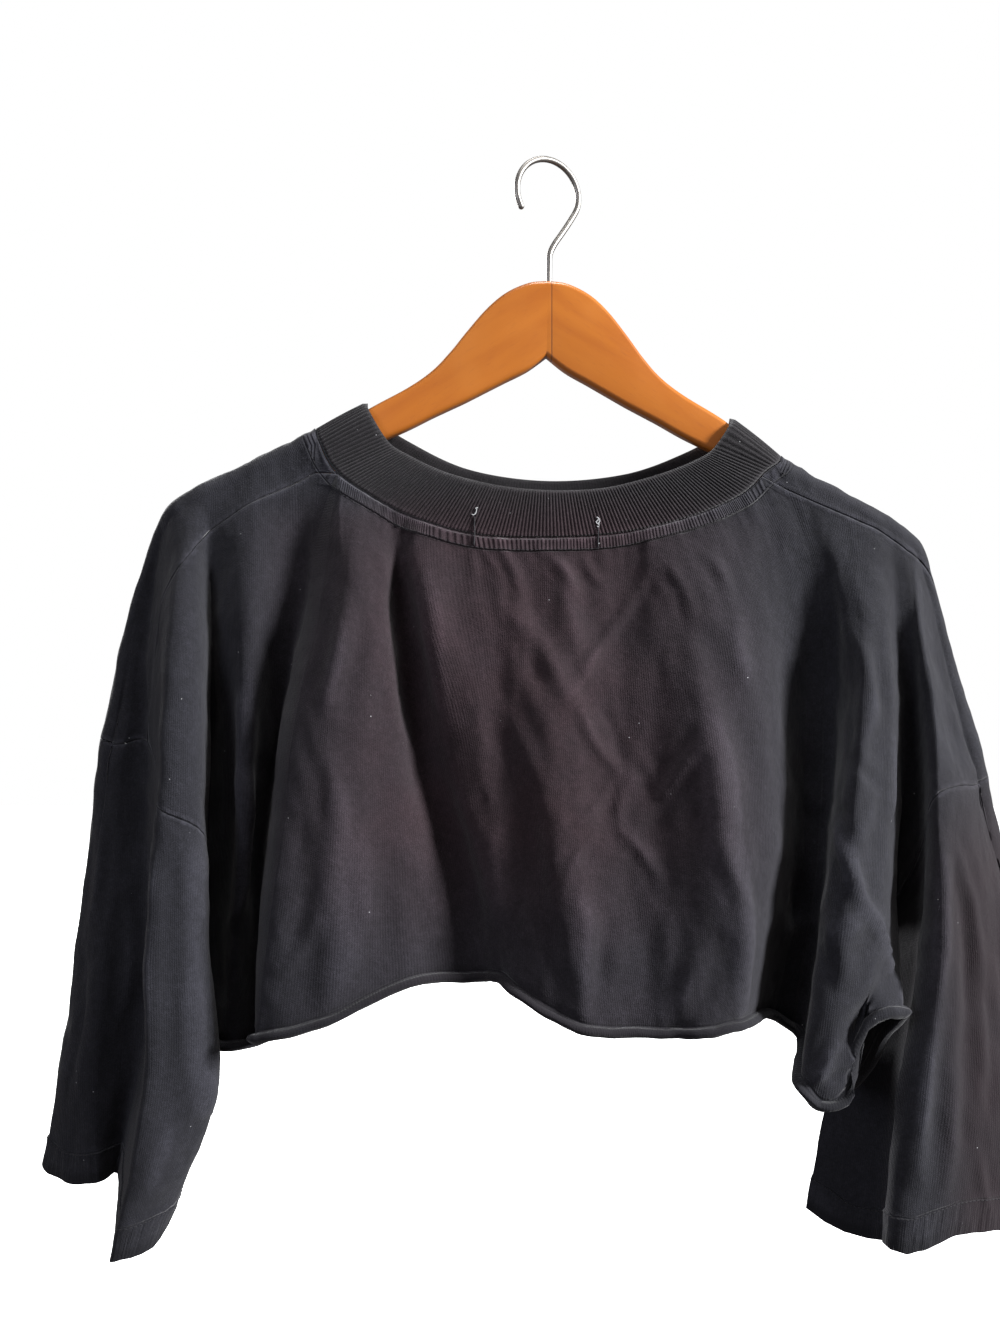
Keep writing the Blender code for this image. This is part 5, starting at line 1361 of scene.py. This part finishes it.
swell = np.array([noise.fractal((s / 3.1, 4.0, 0.0), 1.0, 2.0, 2) for s in steps])
swell[-12:] += (swell[0] - swell[-1]) * np.linspace(0, 1, 12)
full = np.sin(np.pi * up)[:, None]
past_rim = (up[:, None] - (1 - RIM_SHARE)) / RIM_SHARE
rounded = np.sqrt(np.clip(1 - past_rim.clip(0, 1) ** 2, 0, 1))
height = RIB_RISE * rib * (0.75 + 0.25 * full) + full * (0.03 + 0.05 * swell)
depth = COLLAR_WALL * rounded + (1 - rounded) * COLLAR_WALL / 2 - full * 0.05 * swell
outer_band = band + out * (height * rounded - (1 - rounded) * COLLAR_WALL / 2)[..., None]
inner_band = band - out * depth[..., None]
number = np.arange(BAND_ROWS * count).reshape(BAND_ROWS, count)
ahead = np.roll(number, -1, axis=1)
quads = np.stack([number[:-1], ahead[:-1], ahead[1:], number[1:]], axis=-1).reshape(-1, 4)
inside = quads[:, ::-1] + number.size
foot, top = (np.stack([first, second, second + number.size, first + number.size], axis=-1)
             for first, second in ((ahead[0], number[0]), (number[-1], ahead[-1])))
faces = np.concatenate([quads, inside, foot, top])
points = np.concatenate([outer_band.reshape(-1, 3), inner_band.reshape(-1, 3)])
neckband = add_mesh("rib_neckband", points, faces.tolist(), ribbing)
neckband.data.uv_layers.new(name="cloth_cm")
# The rib tops carry the crest mark, so the paint lightens them as a painted highlight.
for name, values in (("seam", up[:, None] * 3.0), ("hem", FAR), ("neck", FAR), ("cuff", FAR),
                     ("crest", rib * 0.2)):
    add_mark(neckband, name, np.broadcast_to(values, number.shape).ravel())
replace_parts(neckband, "rib_collar")
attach(neckband, "root")


# ---- Stitches -------------------------------------------------------------------------
# Black thread: one line below the neckband and one round each sleeve's turned hem.  White
# tacks stay in the neckband where a label was cut away, and pull the cloth below them.
STITCH_PITCH = 0.28
STITCH_LENGTH = 0.24
THREAD = 0.045
NECK_STITCHES_AT = 0.72   # from the neck seam
CUFF_STITCHES_AT = 1.82   # from the sleeve's edge

thread = Paint("sewing_thread", 0.8, 0.0, Sheen_Weight=0.05)
twist = thread.noise(2600.0, 1.0)
thread.colour(thread.mix(twist, (0.006, 0.0055, 0.007, 1.0), (0.022, 0.020, 0.024, 1.0)))
thread.relief(twist, 0.0002)
white_thread = Paint("white_tack_thread", 0.75, 0.0, Sheen_Weight=0.3)
twist = white_thread.noise(3000.0, 1.0)
white_thread.colour(white_thread.mix(twist, (0.30, 0.30, 0.31, 1.0), (0.62, 0.62, 0.62, 1.0)))
white_thread.relief(twist, 0.0003)


def level_line(cloth, field, level, proud):
    """Points on the outer face where a distance field first reaches a level, by column."""
    outer = cloth.outer() + unit(cloth.normal) * proud
    line = []
    for c in range(outer.shape[1]):
        rows = np.nonzero(cloth.used[:, c])[0]
        values = field[rows, c] - level
        turn = np.nonzero(values[:-1] * values[1:] <= 0)[0]
        if len(turn) and min(abs(values[turn[0]]), abs(values[turn[0] + 1])) < 0.5:
            at = turn[0]
            share = values[at] / (values[at] - values[at + 1] + 1e-9)
            line.append(outer[rows[at], c] * (1 - share) + outer[rows[at + 1], c] * share)
    return line


def stitch_tree(paint):
    """Geometry nodes that lay short threads along the edges of a mesh."""
    tree = bpy.data.node_groups.new("stitch_run", "GeometryNodeTree")
    tree.interface.new_socket("Line", in_out="INPUT", socket_type="NodeSocketGeometry")
    for name in ("Pitch", "Length", "Thread"):
        tree.interface.new_socket(name, in_out="INPUT", socket_type="NodeSocketFloat")
    tree.interface.new_socket("Stitches", in_out="OUTPUT", socket_type="NodeSocketGeometry")

    def add(kind, **settings):
        node = tree.nodes.new(kind)
        for key, value in settings.items():
            setattr(node, key, value)
        return node

    source, result = add("NodeGroupInput"), add("NodeGroupOutput")
    curve, points = add("GeometryNodeMeshToCurve"), add("GeometryNodeCurveToPoints", mode="LENGTH")
    bit, place = add("GeometryNodeMeshUVSphere"), add("GeometryNodeInstanceOnPoints")
    size, whole = add("ShaderNodeCombineXYZ"), add("GeometryNodeRealizeInstances")
    finish = add("GeometryNodeSetMaterial")
    for node, socket, value in ((bit, "Segments", 6), (bit, "Rings", 5), (bit, "Radius", 0.5),
                                (finish, "Material", paint.material)):
        node.inputs[socket].default_value = value
    for start, output, end, socket in (
            (source, "Line", curve, 0), (curve, 0, points, "Curve"),
            (source, "Pitch", points, "Length"), (source, "Thread", size, 0),
            (source, "Thread", size, 1), (source, "Length", size, 2),
            (points, "Points", place, "Points"), (points, "Rotation", place, "Rotation"),
            (bit, "Mesh", place, "Instance"), (size, 0, place, "Scale"),
            (place, 0, whole, 0), (whole, 0, finish, "Geometry"), (finish, 0, result, 0)):
        tree.links.new(start.outputs[output], end.inputs[socket])
    return tree


def stitches(name, lines):
    """A mesh of black stitches along lines of points in centimetres."""
    vertices, edges = [], []
    for line in lines:
        first = len(vertices)
        vertices += [tuple(value * CM for value in point) for point in line]
        edges += [(first + n, first + n + 1) for n in range(len(line) - 1)]
    route = bpy.data.meshes.new(name + "_route")
    route.from_pydata(vertices, edges, [])
    holder = add_object(name + "_route", route)
    modifier = holder.modifiers.new("stitch_run", "NODES")
    modifier.node_group = stitch_tree(thread)
    sizes = {"Pitch": STITCH_PITCH, "Length": STITCH_LENGTH, "Thread": THREAD}
    for socket in modifier.node_group.interface.items_tree:
        value = sizes.get(socket.name)
        if value is not None:
            modifier[socket.identifier] = value * CM
    graph = bpy.context.evaluated_depsgraph_get()
    mesh = bpy.data.meshes.new_from_object(holder.evaluated_get(graph))
    bpy.data.objects.remove(holder, do_unlink=True)
    mesh.shade_smooth()
    item = add_object(name, mesh)
    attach(item, "root")
    return item


neck_stitches = stitches("neck_topstitch", [level_line(piece, piece.neck, NECK_STITCHES_AT, 0.07)
                                            for piece in (back, front)])
cuff_stitches = [stitches(name, [level_line(piece, piece.hem, CUFF_STITCHES_AT, 0.02)])
                 for name, piece in (("left_cuff_stitches", left), ("right_cuff_stitches", right))]


def on_band(x, z, proud):
    """A point just off the neckband's or the back's outer face, seen from behind."""
    faces = np.concatenate([outer_band.reshape(-1, 3), back.outer()[back.used]])
    beside = (np.abs(faces[:, 0] - x) < 0.3) & (np.abs(faces[:, 2] - z) < 0.25) & (faces[:, 1] < 0)
    return (x, faces[beside, 1].min() - proud, z)


def threads(name, paths, radius, paint):
    """Round threads along short paths on the back of the neckband."""
    vertices, faces = [], []
    for path in paths:
        places = np.linspace(0, len(path) - 1, 6 * len(path))
        rings = rod(through([on_band(x, z, radius * 0.7) for x, z in path], places), radius, 6)
        first = len(vertices)
        vertices += rings.reshape(-1, 3).tolist()
        faces += [tuple(first + number for number in face) for face in tube(len(rings), 6)]
    item = add_mesh(name, vertices, faces, paint)
    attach(item, "root")
    return item


LEFT_TACK = (((-4.50, -21.86), (-4.42, -22.0), (-4.50, -22.2), (-4.62, -22.28), (-4.72, -22.24)),
             ((-4.47, -21.9), (-4.40, -21.84), (-4.34, -21.88)))
RIGHT_TACK = (((2.86, -22.42), (2.98, -22.48), (2.94, -22.62), (2.84, -22.70), (2.92, -22.82),
               (3.04, -22.78)),
              ((3.02, -22.5), (3.06, -22.66), (2.98, -22.8), (3.02, -22.94)),
              ((2.90, -22.96), (2.96, -23.02), (3.02, -23.0)),
              ((2.96, -23.98), (3.0, -24.04), (3.06, -24.02)))
PULLED = (((-4.54, -22.40), (-4.56, -22.9), (-4.54, -23.4), (-4.58, -24.14)),
          ((2.96, -23.1), (2.98, -23.5), (2.95, -23.9), (2.98, -24.3)))
tacks = threads("white_tacks", LEFT_TACK + RIGHT_TACK, 0.03, white_thread)
pulls = threads("dark_tacks", PULLED, 0.04, thread)


# ---- Floor, light and camera ----------------------------------------------------------
# A plain white room.  The key is far off to the right and low enough to graze the cloth;
# the others only lift what it leaves dark.  Here every place is in metres.
white = Paint("pale_floor", 0.8, Base_Color=(0.9, 0.9, 0.9, 1.0),
              Emission_Color=(1.0, 1.0, 1.0, 1.0), Emission_Strength=1.0)
FLOOR_EDGE, FLOOR_LEVEL = 6, -1.1
floor_mesh = bpy.data.meshes.new("floor")
floor_mesh.from_pydata([(x * FLOOR_EDGE, y * FLOOR_EDGE, FLOOR_LEVEL)
                        for x, y in ((-1, -1), (1, -1), (1, 1), (-1, 1))], [], [(0, 1, 2, 3)])
floor_mesh.materials.append(white.material)
floor = add_object("floor", floor_mesh)
floor.visible_diffuse = False
floor.visible_glossy = False

world = bpy.data.worlds.new("white_room")
bpy.context.scene.world = world
bpy.context.scene.view_settings.view_transform = "Standard"
world.use_nodes = True
nodes, links = world.node_tree.nodes, world.node_tree.links
back_drop, ambient = nodes["Background"], nodes.new("ShaderNodeBackground")
back_drop.inputs[0].default_value = (1.0, 1.0, 1.0, 1.0)
back_drop.inputs[1].default_value = 1.0
ambient.inputs[0].default_value = (1.0, 0.93, 0.94, 1.0)
ambient.inputs[1].default_value = 0.14
path, choice = nodes.new("ShaderNodeLightPath"), nodes.new("ShaderNodeMixShader")
links.new(path.outputs["Is Camera Ray"], choice.inputs[0])
links.new(ambient.outputs[0], choice.inputs[1])
links.new(back_drop.outputs[0], choice.inputs[2])
links.new(choice.outputs[0], nodes["World Output"].inputs[0])


def lamp(name, place, aim, size, power, colour):
    light = bpy.data.lights.new(name, "AREA")
    light.shape, light.size, light.energy, light.color = "DISK", size, power, colour
    item = add_object(name, light)
    item.location = place
    item.rotation_euler = (Vector(aim) - Vector(place)).to_track_quat("-Z", "Y").to_euler()


lamp("key", (5.25, -2.1, 1.7), aim=(0, 0, -0.38), size=1.5, power=940.0, colour=(0.97, 0.98, 1.0))
lamp("fill", (-1.5, -1.5, 0.2), aim=(0, 0, -0.4), size=1.0, power=15.0, colour=(0.86, 0.90, 1.0))
lamp("top", (0.1, -0.2, 1.5), aim=(0, 0, -0.3), size=0.8, power=18.0, colour=(1.0, 1.0, 1.0))
lamp("behind", (-2.6, 3.6, 1.4), aim=(0, 0, -0.35), size=1.4, power=330.0, colour=(1.0, 1.0, 1.0))

camera = bpy.data.cameras.new("camera")
camera.lens, camera.sensor_width = 32.4, 36.0
view_point = add_object("camera", camera)
view_point.location = (-0.03, -0.75, -0.315)
view_point.rotation_euler = (math.pi / 2, 0.0, 0.0)
bpy.context.scene.camera = view_point
